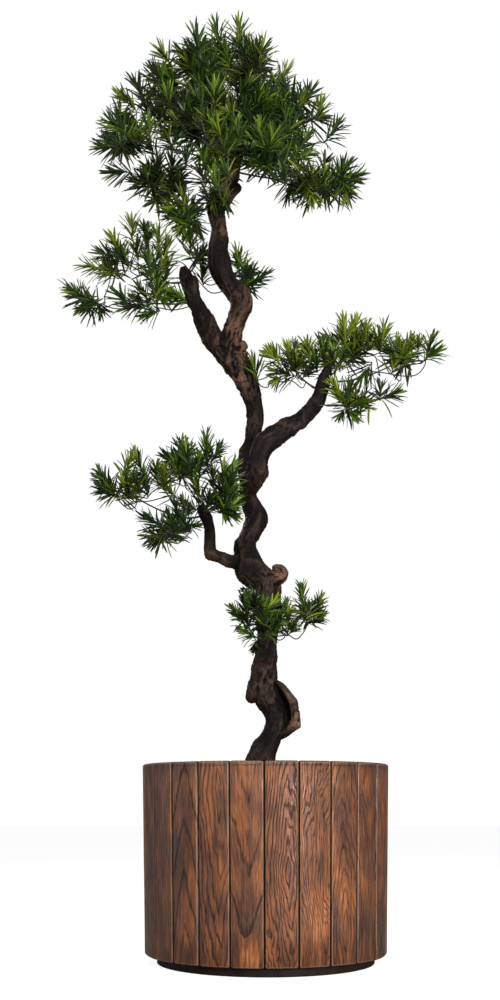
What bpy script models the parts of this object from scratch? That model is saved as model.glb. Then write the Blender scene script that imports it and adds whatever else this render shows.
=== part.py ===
"""An artificial podocarpus, pruned into clouds like a bonsai, in a round planter of wooden staves.

Metres, +Z up, front towards -Y. The origin is the middle of the planter's underside.
"""

import math
import random
from typing import NamedTuple

import bmesh
import bpy
from mathutils import Matrix, Vector
from mathutils.bvhtree import BVHTree

# Gaps between neighbouring solids, the second where one is cut clear of another
CLEARANCE = 0.0003
CUT_CLEARANCE = 0.0005

# Planter, with a joint between two staves a little left of its front
STAVES = 24
RIM_HEIGHT = 0.396
RIM_RADIUS = 0.255
FOOT_RADIUS = 0.245
STAVE_THICKNESS = 0.018
STAVE_CHAMFER = 0.0025
FIRST_JOINT_DEG = -91.2
PLINTH_RADIUS = 0.220
PLINTH_HEIGHT = 0.018
TUB_WALL = 0.007
TUB_FLOOR = 0.012
TUB_BELOW_RIM = 0.010
GROUND_HEIGHT = 0.369
ROUND_SIDES = 48

# Limbs: their flutes wind up them, and an end closes by rings set further on, as shares of its radius
LIMB_SIDES = 10
LUMP_SIDES = 8
RINGS_PER_STATION = 2
FLUTES = 3
FLUTE_DEPTH = 0.07
FLUTE_TWIST = 9.0
ROUND_END_STEPS = ((0.45, 0.82), (0.75, 0.45))
SMOOTH_BELOW_DEG = 50

# Stems: one to a mass, from a short square foot on the bark to a hub low in the mass's space
STEM_RADIUS = 0.0040
STEM_TAPER = 0.3
STEM_SIDES = 4
STEM_POINTS = 4
STEM_FOOT = 0.005
STEM_BOW = 0.30
HUB_DROP = 0.30
HUB_PULL = 0.12
SEAT_STEP = 0.0001
SEAT_TRIES = 6
WELL_OUTSIDE = 0.045

# Twigs: they leave the outer part of the stem and stop short of the space's edge by the room for a leaf
GOLDEN_ANGLE = math.pi * (3 - math.sqrt(5))
TWIG_RADIUS = 0.0026
TWIGS_PER_SQUARE_METRE = 275
FIRST_TWIG = 0.40
LOWEST_TWIG = -0.75
SHORTEST_TWIG = 0.12
SHOOT_RISE = 0.20
SHOOT_LENGTH = 0.008

# Leaves: each stands for a few of the real plant's
LEAF_LENGTH = 0.078
LEAF_VARIATION = (0.90, 1.0)
LEAF_WIDTH = 0.0205
LEAF_THICKNESS = 0.0024
LEAF_WIDEST_AT = 0.36
LEAF_LEAN_DEG = 52
LEAF_ROOM = 0.056
SHORTEST_LEAF = 0.4

# A mass whose union touches itself, by a weld of its nearest points, grows again from the next seed
FIRST_SEED = 9
SEEDS_TRIED = 6
WELDS = (0.0000001, 0.000001, 0.000005, 0.00001)


class Station(NamedTuple):
    """A place on a limb's middle line and the limb's radius there."""
    height: float
    x: float
    y: float
    radius: float


class Mass(NamedTuple):
    """A mass of foliage: the limb that carries it, where its stem starts, and the space it keeps to."""
    name: str
    limb: str
    stem_height: float
    centre: tuple
    reach: tuple


TRUNK = (
    Station(GROUND_HEIGHT, -0.013, 0.000, 0.042),
    Station(0.412, -0.007, 0.000, 0.033),
    Station(0.487, 0.018, 0.016, 0.020),
    Station(0.559, -0.006, 0.020, 0.028),
    Station(0.647, 0.002, -0.010, 0.022),
    Station(0.716, 0.006, -0.027, 0.023),
    Station(0.770, 0.002, -0.034, 0.029),
    Station(0.800, -0.014, -0.030, 0.036),
    Station(0.835, -0.035, -0.018, 0.029),
    Station(0.876, -0.038, -0.004, 0.022),
    Station(0.936, -0.017, 0.008, 0.023),
    Station(1.011, -0.034, 0.018, 0.022),
    Station(1.060, -0.046, 0.032, 0.020),
    Station(1.115, -0.031, 0.044, 0.019),
    Station(1.173, -0.021, 0.046, 0.019),
    Station(1.223, -0.031, 0.036, 0.022),
    Station(1.270, -0.056, 0.019, 0.026),
    Station(1.308, -0.080, 0.002, 0.031),
    Station(1.343, -0.074, -0.014, 0.023),
    Station(1.404, -0.052, -0.034, 0.023),
    Station(1.486, -0.101, -0.030, 0.025),
    Station(1.540, -0.107, -0.017, 0.021),
    Station(1.597, -0.104, 0.000, 0.018),
    Station(1.655, -0.108, 0.014, 0.022),
    Station(1.701, -0.089, 0.020, 0.024),
    Station(1.792, -0.066, 0.008, 0.019),
    Station(1.846, -0.075, -0.006, 0.014),
    Station(1.903, -0.087, -0.014, 0.007),
)

# Swellings of old wood, fused to the trunk
TRUNK_LUMPS = (
    (
        Station(0.567, 0.010, 0.012, 0.013),
        Station(0.554, 0.032, 0.008, 0.017),
        Station(0.524, 0.046, 0.006, 0.019),
        Station(0.494, 0.050, 0.006, 0.019),
        Station(0.467, 0.043, 0.008, 0.018),
        Station(0.453, 0.022, 0.010, 0.013),
    ),
    (Station(0.551, -0.022, 0.014, 0.019), Station(0.534, -0.032, 0.012, 0.011)),
    (Station(0.782, -0.007, -0.034, 0.021), Station(0.787, 0.019, -0.040, 0.019),
     Station(0.797, 0.034, -0.046, 0.016)),
    (Station(0.838, -0.040, -0.014, 0.022), Station(0.860, -0.053, -0.012, 0.015)),
    (Station(1.300, -0.070, 0.000, 0.018), Station(1.316, -0.047, -0.006, 0.010)),
    (Station(1.690, -0.084, 0.018, 0.017), Station(1.708, -0.064, 0.015, 0.013)),
)

BOUGHS = {
    "bough_right": (
        Station(0.962, -0.029, 0.000, 0.017),
        Station(1.018, -0.016, -0.018, 0.022),
        Station(1.053, -0.012, -0.022, 0.022),
        Station(1.086, 0.002, -0.018, 0.024),
        Station(1.124, 0.050, -0.012, 0.025),
        Station(1.177, 0.103, -0.020, 0.021),
        Station(1.226, 0.129, -0.030, 0.015),
        Station(1.248, 0.136, -0.032, 0.011),
    ),
    "bough_left": (
        Station(1.303, -0.085, 0.000, 0.026),
        Station(1.335, -0.112, 0.010, 0.027),
        Station(1.371, -0.130, 0.018, 0.025),
        Station(1.419, -0.150, 0.030, 0.020),
        Station(1.494, -0.175, 0.046, 0.017),
        Station(1.520, -0.184, 0.050, 0.014),
    ),
    "bough_low_arm": (
        Station(0.824, -0.032, -0.020, 0.024),
        Station(0.824, -0.070, -0.028, 0.019),
        Station(0.829, -0.100, -0.036, 0.018),
        Station(0.836, -0.122, -0.042, 0.018),
    ),
    "bough_low_riser": (
        Station(0.832, -0.120, -0.042, 0.016),
        Station(0.862, -0.118, -0.040, 0.018),
        Station(0.890, -0.120, -0.036, 0.016),
        Station(0.920, -0.128, -0.030, 0.015),
        Station(0.944, -0.138, -0.026, 0.012),
    ),
}

# What each bough grows out of, and is cut clear of
BOUGH_PARENTS = {
    "bough_right": "trunk",
    "bough_left": "trunk",
    "bough_low_arm": "trunk",
    "bough_low_riser": "bough_low_arm",
}

MASSES = (
    Mass("crown_top_left", "trunk", 1.880, (-0.140, -0.030, 2.005), (0.090, 0.100, 0.080)),
    Mass("crown_top_right", "trunk", 1.868, (-0.025, 0.050, 2.050), (0.095, 0.100, 0.100)),
    Mass("crown_high_left", "trunk", 1.842, (-0.255, 0.020, 1.975), (0.100, 0.100, 0.075)),
    Mass("crown_left", "trunk", 1.760, (-0.325, -0.020, 1.830), (0.080, 0.100, 0.080)),
    Mass("crown_low_left", "trunk", 1.715, (-0.255, 0.040, 1.745), (0.100, 0.095, 0.060)),
    Mass("crown_high_right", "trunk", 1.830, (0.085, 0.000, 1.915), (0.090, 0.100, 0.075)),
    Mass("crown_low_right", "trunk", 1.690, (0.140, 0.010, 1.725), (0.110, 0.100, 0.060)),
    Mass("crown_front", "trunk", 1.700, (-0.130, -0.130, 1.755), (0.105, 0.080, 0.085)),
    Mass("crown_front_right", "trunk", 1.740, (0.005, -0.100, 1.745), (0.095, 0.080, 0.085)),
    Mass("crown_back", "trunk", 1.815, (-0.155, 0.160, 1.980), (0.125, 0.090, 0.120)),
    Mass("crown_back_right", "trunk", 1.780, (0.030, 0.140, 1.915), (0.110, 0.090, 0.095)),
    Mass("crown_hanging", "trunk", 1.665, (-0.180, -0.020, 1.635), (0.060, 0.060, 0.055)),
    Mass("middle_far", "bough_left", 1.440, (-0.385, 0.000, 1.455), (0.090, 0.100, 0.060)),
    Mass("middle_high", "bough_left", 1.495, (-0.330, 0.070, 1.580), (0.090, 0.100, 0.088)),
    Mass("middle_near", "bough_left", 1.475, (-0.235, -0.060, 1.460), (0.080, 0.090, 0.085)),
    Mass("middle_inner", "bough_left", 1.512, (-0.155, 0.070, 1.590), (0.050, 0.070, 0.085)),
    Mass("middle_back", "trunk", 1.480, (-0.035, 0.100, 1.550), (0.070, 0.080, 0.070)),
    Mass("right_inner", "bough_right", 1.205, (0.045, -0.020, 1.295), (0.090, 0.100, 0.060)),
    Mass("right_high", "bough_right", 1.240, (0.185, 0.050, 1.340), (0.090, 0.100, 0.085)),
    Mass("right_far", "bough_right", 1.230, (0.315, 0.010, 1.310), (0.090, 0.100, 0.070)),
    Mass("right_low", "bough_right", 1.212, (0.220, -0.080, 1.170), (0.095, 0.090, 0.050)),
    Mass("low_far", "bough_low_riser", 0.925, (-0.315, -0.020, 1.005), (0.070, 0.100, 0.070)),
    Mass("low_high", "bough_low_riser", 0.940, (-0.185, 0.040, 1.065), (0.090, 0.110, 0.085)),
    Mass("low_inner", "bough_low_riser", 0.930, (-0.090, -0.080, 0.970), (0.055, 0.070, 0.075)),
    Mass("low_under", "bough_low_riser", 0.905, (-0.220, -0.080, 0.895), (0.085, 0.080, 0.050)),
    Mass("base_front", "trunk", 0.660, (-0.005, -0.085, 0.705), (0.070, 0.060, 0.065)),
    Mass("base_side", "trunk", 0.675, (0.090, -0.030, 0.730), (0.045, 0.065, 0.055)),
    Mass("base_back", "trunk", 0.668, (0.010, 0.055, 0.740), (0.070, 0.060, 0.060)),
)

# Colours are linear red, green, blue
STAVE_COLOURS = ((0.118, 0.044, 0.018), (0.092, 0.036, 0.017), (0.138, 0.050, 0.019))
PLINTH_COLOUR = (0.010, 0.007, 0.007)
TUB_COLOUR = (0.020, 0.016, 0.014)
SOIL_COLOUR = (0.022, 0.013, 0.008)
BARK_COLOUR = (0.042, 0.023, 0.018)
FOLIAGE_COLOURS = ((0.030, 0.085, 0.016), (0.044, 0.110, 0.018), (0.022, 0.066, 0.018))


def clear_scene():
    for thing in list(bpy.data.objects):
        bpy.data.objects.remove(thing, do_unlink=True)


def material(name, colour, roughness):
    made = bpy.data.materials.new(name)
    made.use_nodes = True
    surface = made.node_tree.nodes["Principled BSDF"]
    surface.inputs["Base Color"].default_value = (*colour, 1)
    surface.inputs["Roughness"].default_value = roughness
    surface.inputs["Metallic"].default_value = 0
    made.diffuse_color = (*colour, 1)
    return made


def mesh_from(points, faces):
    """A closed mesh with its faces turned outwards."""
    shell = bmesh.new()
    corners = [shell.verts.new(point) for point in points]
    for face in faces:
        shell.faces.new([corners[index] for index in face])
    bmesh.ops.recalc_face_normals(shell, faces=shell.faces)
    mesh = bpy.data.meshes.new("shape")
    shell.to_mesh(mesh)
    shell.free()
    return mesh


def add_object(name, mesh, surface=None, parent=None):
    thing = bpy.data.objects.new(name, mesh)
    bpy.context.scene.collection.objects.link(thing)
    if surface and not mesh.materials:
        mesh.materials.append(surface)
    thing.parent = parent
    return thing


def add_empty(name):
    empty = bpy.data.objects.new(name, None)
    bpy.context.scene.collection.objects.link(empty)
    return empty


def stacked(rings):
    """The faces of a closed shape whose rings, all of one size, are joined in turn."""
    size = len(rings[0])
    points = [point for ring in rings for point in ring]
    faces = [tuple(range(size))]
    for level in range(len(rings) - 1):
        low, high = level * size, (level + 1) * size
        for side in range(size):
            after = (side + 1) % size
            faces.append((low + side, low + after, high + after, high + side))
    faces.append(tuple(range(len(points) - size, len(points))))
    return mesh_from(points, faces)


def turned(profile, sides, start_deg=0.0):
    """A profile of (radius, height) turned about Z, its first and last rings closed flat."""
    start = math.radians(start_deg)
    return stacked([
        [(radius * math.cos(start + math.tau * side / sides),
          radius * math.sin(start + math.tau * side / sides), height) for side in range(sides)]
        for radius, height in profile
    ])


def shade_round(mesh):
    mesh.shade_smooth()
    mesh.set_sharp_from_angle(angle=math.radians(SMOOTH_BELOW_DEG))


# Planter

def stave_section(radius, height, trim=0.0):
    """A stave's outline at one height, facing +X, with chamfered outer edges and a slightly round face."""
    half = math.pi / STAVES

    def flank(x):
        return x * math.tan(half) - CLEARANCE / 2 / math.cos(half)

    inner = (radius - STAVE_THICKNESS) * math.cos(half)
    edge = radius * math.cos(half) - trim
    cheek = edge - STAVE_CHAMFER
    return [
        (inner, flank(inner), height),
        (inner, -flank(inner), height),
        (cheek, -flank(cheek), height),
        (edge, STAVE_CHAMFER - flank(edge), height),
        (radius - trim, 0, height),
        (edge, flank(edge) - STAVE_CHAMFER, height),
        (cheek, flank(cheek), height),
    ]


def build_staves(planter):
    """Tapered planks side by side, every one a turned copy of the first of its colour."""
    meshes = []
    for index, colour in enumerate(STAVE_COLOURS):
        mesh = stacked([
            stave_section(FOOT_RADIUS, PLINTH_HEIGHT),
            stave_section(RIM_RADIUS, RIM_HEIGHT - STAVE_CHAMFER),
            stave_section(RIM_RADIUS, RIM_HEIGHT, trim=STAVE_CHAMFER),
        ])
        mesh.materials.append(material(f"stained_oak_{index + 1}", colour, 0.55))
        meshes.append(mesh)
    for index in range(STAVES):
        stave = add_object(f"stave_{index + 1:02d}", meshes[index * 2 % len(meshes)], parent=planter)
        stave.rotation_euler.z = math.radians(FIRST_JOINT_DEG) + math.tau * (index + 0.5) / STAVES


def build_tub(planter):
    """The plinth, the plain tub that the staves are fixed to, and the soil that fills it."""
    plinth = turned([(PLINTH_RADIUS, 0), (PLINTH_RADIUS, PLINTH_HEIGHT)], ROUND_SIDES)
    shade_round(plinth)
    add_object("plinth", plinth, material("black_plinth", PLINTH_COLOUR, 0.7), planter)

    def outer(height):
        lean = (RIM_RADIUS - FOOT_RADIUS) / (RIM_HEIGHT - PLINTH_HEIGHT)
        return FOOT_RADIUS - STAVE_THICKNESS + lean * (height - PLINTH_HEIGHT) - CLEARANCE

    floor, rim = PLINTH_HEIGHT + CLEARANCE, RIM_HEIGHT - TUB_BELOW_RIM
    bed = floor + TUB_FLOOR
    tub = turned([
        (outer(floor), floor),
        (outer(rim), rim),
        (outer(rim) - TUB_WALL, rim),
        (outer(bed) - TUB_WALL, bed),
    ], STAVES, FIRST_JOINT_DEG)
    add_object("tub", tub, material("dark_tub", TUB_COLOUR, 0.7), planter)

    inset, ground = TUB_WALL + CLEARANCE, GROUND_HEIGHT - CLEARANCE
    soil = turned([
        (outer(bed) - inset, bed + CLEARANCE),
        (outer(ground) - inset, ground),
    ], STAVES, FIRST_JOINT_DEG)
    add_object("soil", soil, material("potting_soil", SOIL_COLOUR, 0.95), planter)


# Limbs

def smooth_path(stations, rings_each=RINGS_PER_STATION):
    """Four-part vectors of place and radius along a smooth curve through the stations."""
    knots = [Vector((station.x, station.y, station.height, station.radius)) for station in stations]
    padded = [2 * knots[0] - knots[1], *knots, 2 * knots[-1] - knots[-2]]
    path = []
    for before, here, there, after in zip(padded, padded[1:], padded[2:], padded[3:]):
        for step in range(rings_each):
            t = step / rings_each
            path.append(0.5 * (
                2 * here + (there - before) * t
                + (2 * before - 5 * here + 4 * there - after) * t ** 2
                + (3 * here - before - 3 * there + after) * t ** 3
            ))
    path.append(knots[-1])
    return path


def with_round_end(path):
    """The same path run on past its last point by a few smaller rings, which close it round."""
    end = path[-1]
    onward = (path[-1].xyz - path[-2].xyz).normalized()
    rounded = [
        Vector((*(end.xyz + onward * end.w * along), end.w * share)) for along, share in ROUND_END_STEPS
    ]
    return [*path, *rounded]


def rings_along(path, sides, fluted=False, level_start=False, first_turn=0.0, turn_each=0.0):
    """Rings round a path's points, each turned from the last only as far as the path and turn_each say."""
    places = [point.xyz for point in path]
    across, ahead, run, rings = None, None, 0.0, []
    for index, point in enumerate(path):
        behind, front = places[max(index - 1, 0)], places[min(index + 1, len(places) - 1)]
        heading = (front - behind).normalized()
        if level_start and index == 0:
            heading = Vector((0, 0, 1))
        if across is None:
            across = heading.orthogonal().normalized()
        else:
            across = ahead.rotation_difference(heading) @ across
            run += (places[index] - places[index - 1]).length
        ahead = heading
        beside = heading.cross(across)
        ring = []
        for side in range(sides):
            angle = math.tau * side / sides + first_turn + turn_each * index
            radius = point.w
            if fluted:
                radius *= 1 + FLUTE_DEPTH * math.cos(FLUTES * angle - FLUTE_TWIST * run)
            ring.append(point.xyz + radius * (math.cos(angle) * across + math.sin(angle) * beside))
        rings.append(ring)
    return rings


def tube(path, sides, fluted=False, level_start=False):
    """A tapering tube along the path with flat ends."""
    return stacked(rings_along(path, sides, fluted, level_start))


def apply_boolean(thing, operation, solver="EXACT", cutter=None, collection=None):
    """Joins or cuts, applies the result and removes whatever it was made with."""
    change = thing.modifiers.new(operation.title(), "BOOLEAN")
    change.operation = operation
    change.solver = solver
    if collection:
        change.operand_type = "COLLECTION"
        change.collection = collection
    else:
        change.object = cutter
    graph = bpy.context.evaluated_depsgraph_get()
    result = bpy.data.meshes.new_from_object(thing.evaluated_get(graph))
    thing.modifiers.clear()
    thing.data = result
    for used in list(collection.objects) if collection else [cutter]:
        bpy.data.objects.remove(used, do_unlink=True)
    if collection:
        bpy.data.collections.remove(collection)


def fuse(thing, meshes, solver="EXACT"):
    """One Boolean union of the object with every mesh."""
    extras = bpy.data.collections.new("extras")
    bpy.context.scene.collection.children.link(extras)
    for mesh in meshes:
        extras.objects.link(bpy.data.objects.new("extra", mesh))
    apply_boolean(thing, "UNION", solver, collection=extras)
    keep_main_shell(thing.data)


def keep_main_shell(mesh):
    """Drops loose scraps and the shells of sealed hollows, which fills the hollows."""
    shape = bmesh.new()
    shape.from_mesh(mesh)
    shells, unseen = [], set(shape.faces)
    while unseen:
        shell, edge_of_search = set(), [unseen.pop()]
        while edge_of_search:
            face = edge_of_search.pop()
            shell.add(face)
            for near in {other for edge in face.edges for other in edge.link_faces} & unseen:
                unseen.remove(near)
                edge_of_search.append(near)
        shells.append(shell)
    shells.sort(key=lambda shell: sum(face.calc_area() for face in shell))
    bmesh.ops.delete(shape, geom=[face for shell in shells[:-1] for face in shell], context="FACES")
    shape.to_mesh(mesh)
    shape.free()


def cut_clear(thing, neighbour):
    """Cuts away what lies in the neighbour or closer to it than the clearance."""
    swollen = neighbour.data.copy()
    outward = [vertex.normal.copy() for vertex in swollen.vertices]
    for vertex, normal in zip(swollen.vertices, outward):
        vertex.co += normal * CUT_CLEARANCE
    apply_boolean(thing, "DIFFERENCE", cutter=add_object("cutter", swollen))
    keep_main_shell(thing.data)


def build_limbs(tree):
    """The trunk with its swellings, then each bough cut clear of what it grows from."""
    bark = material("dark_bark", BARK_COLOUR, 0.6)
    trunk_path = with_round_end(smooth_path(TRUNK))
    limbs = {"trunk": add_object("trunk", tube(trunk_path, LIMB_SIDES, True, True), bark, tree)}
    lumps = [tube(with_round_end(smooth_path(lump, 1)), LUMP_SIDES) for lump in TRUNK_LUMPS]
    fuse(limbs["trunk"], lumps)
    for name, stations in BOUGHS.items():
        path = with_round_end(smooth_path(stations))
        limbs[name] = add_object(name, tube(path, LIMB_SIDES, True), bark, tree)
        cut_clear(limbs[name], limbs[BOUGH_PARENTS[name]])
    for limb in limbs.values():
        shade_round(limb.data)
    return limbs


# Foliage

def tree_of(mesh):
    return BVHTree.FromPolygons([vertex.co for vertex in mesh.vertices],
                                [tuple(face.vertices) for face in mesh.polygons])


def way_to_edge(mass, point, heading):
    """How far a point inside the mass's space lies from its edge along a heading."""
    start = Vector([part / reach for part, reach in zip(point - Vector(mass.centre), mass.reach)])
    step = Vector([part / reach for part, reach in zip(heading, mass.reach)])
    a, b, c = step.dot(step), start.dot(step), start.dot(start) - 1
    return (-b + math.sqrt(max(b * b - a * c, 0))) / a


def limb_place(stations, height):
    """The middle of a limb at a height, and the way the limb runs there."""
    path = smooth_path(stations)
    index = min(range(1, len(path)), key=lambda i: abs(path[i].z - height))
    return path[index].xyz, (path[index].xyz - path[index - 1].xyz).normalized()


def stem_path(mass, surface, stations):
    """The stem leaves the bark squarely, on the side that faces its mass, and bends up into its middle."""
    middle, along_limb = limb_place(stations, mass.stem_height)
    centre = Vector(mass.centre)
    hub = centre - Vector((0, 0, HUB_DROP * mass.reach[2])) + HUB_PULL * (middle - centre)
    outwards = hub - middle
    outwards = (outwards - outwards.dot(along_limb) * along_limb).normalized()
    spot, out, _, _ = surface.ray_cast(middle + outwards * WELL_OUTSIDE, -outwards)
    for push in range(SEAT_TRIES):
        start = spot + out * (CLEARANCE + push * SEAT_STEP)
        foot = start + out * STEM_FOOT
        if not tree_of(tube(radii_added([start, foot]), STEM_SIDES)).overlap(surface):
            break
    bend = foot + out * STEM_BOW * (hub - foot).length
    arc = []
    for step in range(STEM_POINTS):
        t = step / (STEM_POINTS - 1)
        arc.append((1 - t) ** 2 * foot + 2 * t * (1 - t) * bend + t ** 2 * hub)
    return radii_added([start, *arc])


def radii_added(places):
    """A stem's places with its radius at each, thinner towards the end."""
    last = len(places) - 1
    return [
        Vector((*place, STEM_RADIUS * (1 - STEM_TAPER * index / last)))
        for index, place in enumerate(places)
    ]


def directions(count, turn):
    """Headings spread evenly from straight up down to the lowest twigs."""
    for index in range(count):
        up = 1 - (1 - LOWEST_TWIG) * (index + 0.5) / count
        flat = math.sqrt(1 - up * up)
        angle = turn + index * GOLDEN_ANGLE
        yield Vector((flat * math.cos(angle), flat * math.sin(angle), up))


def is_clear(tester, owner, taken):
    """Whether a trial shape meets nothing but its own mass."""
    shape = tree_of(tester)
    bpy.data.meshes.remove(tester)
    return not any(shape.overlap(other) for name, other in taken if name != owner)


def blade(base, heading, length, margin=0.0):
    """The widest section and the tip of a keeled leaf that grows out of a three-cornered face."""
    root = sum(base, Vector()) / 3
    across = (base[1] - base[0]).normalized()
    keel = across.cross(heading)
    keel *= math.copysign(1, keel.dot(base[2] - root))
    widest = root + heading * length * LEAF_WIDEST_AT
    side = across * (LEAF_WIDTH / 2 + margin)
    half_thick = keel * (LEAF_THICKNESS / 2 + margin)
    section = [widest - side - half_thick, widest + side - half_thick, widest + half_thick]
    return [*section, root + heading * (length + margin)]


def blade_faces(base, first):
    """Faces from the corners of a base to the section and tip whose points start at an index."""
    section, tip = (first, first + 1, first + 2), first + 3
    faces = []
    for side in range(3):
        after = (side + 1) % 3
        faces.append((base[side], base[after], section[after], section[side]))
        faces.append((section[side], section[after], tip))
    return faces


def tuft(mass, taken, root, end, shoot, chance):
    """A three-sided twig with a leaf at its tip and three round it, or None where the twig can't grow."""
    top = end + shoot * SHOOT_LENGTH
    path = [Vector((*place, TWIG_RADIUS)) for place in (root, end, top)]
    rings = rings_along(path, 3, first_turn=chance.uniform(0, math.tau), turn_each=math.pi / 3)
    if not is_clear(stacked(rings), mass.name, taken):
        return None
    points = [corner for ring in rings for corner in ring]
    faces, seats = [(0, 1, 2)], [((6, 7, 8), shoot)]
    lean = math.radians(LEAF_LEAN_DEG)
    for side in range(3):
        after = (side + 1) % 3
        for low in (0, 3):
            faces.append((low + after, low + 3 + after, low + 3 + side))
        faces.append((side, after, 3 + side))
        out = (points[6 + side] - top).normalized()
        seats.append(((3 + side, 3 + after, 6 + side), math.cos(lean) * shoot + math.sin(lean) * out))
    for seat, heading in seats:
        base = [points[corner] for corner in seat]
        length = min(LEAF_LENGTH, way_to_edge(mass, base[2], heading)) * chance.uniform(*LEAF_VARIATION)
        trial = mesh_from([*base, *blade(base, heading, length, CLEARANCE)],
                          [(0, 1, 2), *blade_faces((0, 1, 2), 3)])
        if is_clear(trial, mass.name, taken) and length > LEAF_LENGTH * SHORTEST_LEAF:
            faces.extend(blade_faces(seat, len(points)))
            points.extend(blade(base, heading, length))
        else:
            faces.append(seat)
    return mesh_from(points, faces)


def stem_place(stem, share):
    """A place on a stem, by the share of its stretches."""
    index, part = divmod(share * (len(stem) - 1), 1)
    following = min(int(index) + 1, len(stem) - 1)
    return stem[int(index)].xyz.lerp(stem[following].xyz, part)


def grow_mass(mass, stem, taken, seed):
    """The twigs and leaves of one mass. What would leave its space or touch another thing is skipped."""
    chance = random.Random(f"{mass.name} {seed}")
    wide, deep, high = mass.reach
    count = round(TWIGS_PER_SQUARE_METRE * (wide * deep + deep * high + high * wide))
    centre = Vector(mass.centre)
    grown = []
    for index, heading in enumerate(directions(count, chance.uniform(0, math.tau))):
        shoot = (heading + Vector((0, 0, SHOOT_RISE))).normalized()
        edge = Vector([part * reach for part, reach in zip(heading, mass.reach)])
        end = centre + edge * max(1 - LEAF_ROOM / edge.length, SHORTEST_TWIG)
        root = stem_place(stem, 1 - (1 - FIRST_TWIG) * index / count)
        made = tuft(mass, taken, root, end, shoot, chance)
        if made:
            grown.append(made)
    return grown


def touches_itself(mesh):
    """Whether welding the nearest points would leave an edge with more or fewer than two faces."""
    shape = bmesh.new()
    shape.from_mesh(mesh)
    found = False
    for distance in WELDS:
        bmesh.ops.remove_doubles(shape, verts=shape.verts, dist=distance)
        found = found or not all(edge.is_manifold for edge in shape.edges)
    shape.free()
    return found


def build_foliage(tree, limbs):
    """Stems first, so that no leaf of one mass crosses the stem of another, then twigs and leaves."""
    surfaces = {name: tree_of(limb.data) for name, limb in limbs.items()}
    taken = [("limb", surface) for surface in surfaces.values()]
    stations = {"trunk": TRUNK, **BOUGHS}
    stems = {}
    for mass in MASSES:
        stems[mass.name] = stem_path(mass, surfaces[mass.limb], stations[mass.limb])
        taken.append((mass.name, tree_of(tube(stems[mass.name], STEM_SIDES))))
    for index, mass in enumerate(MASSES):
        green = material(mass.name, FOLIAGE_COLOURS[index % len(FOLIAGE_COLOURS)], 0.45)
        node = add_object(mass.name, tube(stems[mass.name], STEM_SIDES), green, tree)
        for seed in range(FIRST_SEED, FIRST_SEED + SEEDS_TRIED):
            node.data = tube(stems[mass.name], STEM_SIDES)
            node.data.materials.append(green)
            fuse(node, grow_mass(mass, stems[mass.name], taken, seed), "MANIFOLD")
            if not touches_itself(node.data):
                break
        taken.append((mass.name, tree_of(node.data)))


def main():
    clear_scene()
    planter = add_empty("planter")
    build_staves(planter)
    build_tub(planter)
    tree = add_empty("tree")
    build_foliage(tree, build_limbs(tree))


main()
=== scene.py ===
"""The looks of an artificial podocarpus in a round planter of oak staves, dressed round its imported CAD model.

It is laid out as a Blender add-on: each group of pieces has an operator and settings of its own, and main()
calls them in order. Metres, +Z up, front towards -Y.
"""

import math
import random
from typing import NamedTuple

import bmesh
import bpy
import numpy as np
from bpy.props import EnumProperty, FloatProperty, FloatVectorProperty, IntProperty, PointerProperty
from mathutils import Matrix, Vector
from mathutils.bvhtree import BVHTree


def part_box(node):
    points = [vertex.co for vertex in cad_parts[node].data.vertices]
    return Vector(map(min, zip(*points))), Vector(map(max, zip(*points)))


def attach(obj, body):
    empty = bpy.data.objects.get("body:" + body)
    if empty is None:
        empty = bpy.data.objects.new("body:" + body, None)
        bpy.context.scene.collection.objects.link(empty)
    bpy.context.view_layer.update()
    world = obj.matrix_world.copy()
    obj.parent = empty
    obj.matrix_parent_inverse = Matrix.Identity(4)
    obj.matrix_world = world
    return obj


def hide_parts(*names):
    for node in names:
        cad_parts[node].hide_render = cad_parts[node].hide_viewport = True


bl_info = {
    "name": "Podocarpus in an oak planter",
    "version": (1, 0, 0),
    "blender": (4, 5, 0),
    "location": "3D View > Sidebar > Podocarpus",
    "description": "Dresses a packed artificial podocarpus with old wood, twigs, leaves and stained oak",
    "category": "Object",
}

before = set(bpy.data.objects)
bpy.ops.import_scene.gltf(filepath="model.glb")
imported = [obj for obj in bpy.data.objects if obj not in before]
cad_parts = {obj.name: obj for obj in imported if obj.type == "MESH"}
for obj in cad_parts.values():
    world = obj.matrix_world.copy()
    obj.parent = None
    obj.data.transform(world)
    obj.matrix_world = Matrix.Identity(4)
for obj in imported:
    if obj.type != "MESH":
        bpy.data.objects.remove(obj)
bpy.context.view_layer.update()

# The photograph's camera: its frame in pixels, where its axis meets that frame, and its focal length in them
PHOTO_HEIGHT = 1000
AXIS_U, AXIS_V = 250, 620
FOCAL_PX = 1142.66
SENSOR_MM = 36.0
CAMERA_PLACE = Vector((-0.0319, -2.40, 0.3136))
CAMERA_PITCH = math.radians(9.1966)

# Planter, with sizes that the CAD model gives
STAVES = 24
FIRST_JOINT_DEG = -91.2
STAVE_THICKNESS = 0.018
RIM_RADIUS = 0.255
FOOT_RADIUS = 0.245
STAVE_GAP = 0.0003
STAVE_FOOT, STAVE_TOP = (corner.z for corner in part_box("stave_01"))
STAVE_HEIGHT = STAVE_TOP - STAVE_FOOT
HALF_STAVE = math.pi / STAVES
PLINTH_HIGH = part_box("plinth")[1]
SOIL_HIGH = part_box("soil")[1]

# How far the face of one stave may stand out from the round, or back from it
STAVE_PROUD = 0.0005
# How far below the rim its rounded lip ends, and half the width of the line of painted shade there
LIP_DEPTH, LIP_SHADE_LINE = 0.0085, 0.0018
# How far apart two boards lie in the noise that marks them
BOARD_STRIDE = 0.37
# The plinth's eased edges, and the lip and depth of the hollow under it
PLINTH_EASE, PLINTH_LIP, PLINTH_HOLLOW = 0.0015, 0.012, 0.004
# How far the soil keeps off its wall, how far its side reaches down, and the rings of its mesh
SOIL_CLEARANCE, SOIL_SIDE, SOIL_RINGS = 0.004, 0.04, 34
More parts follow.
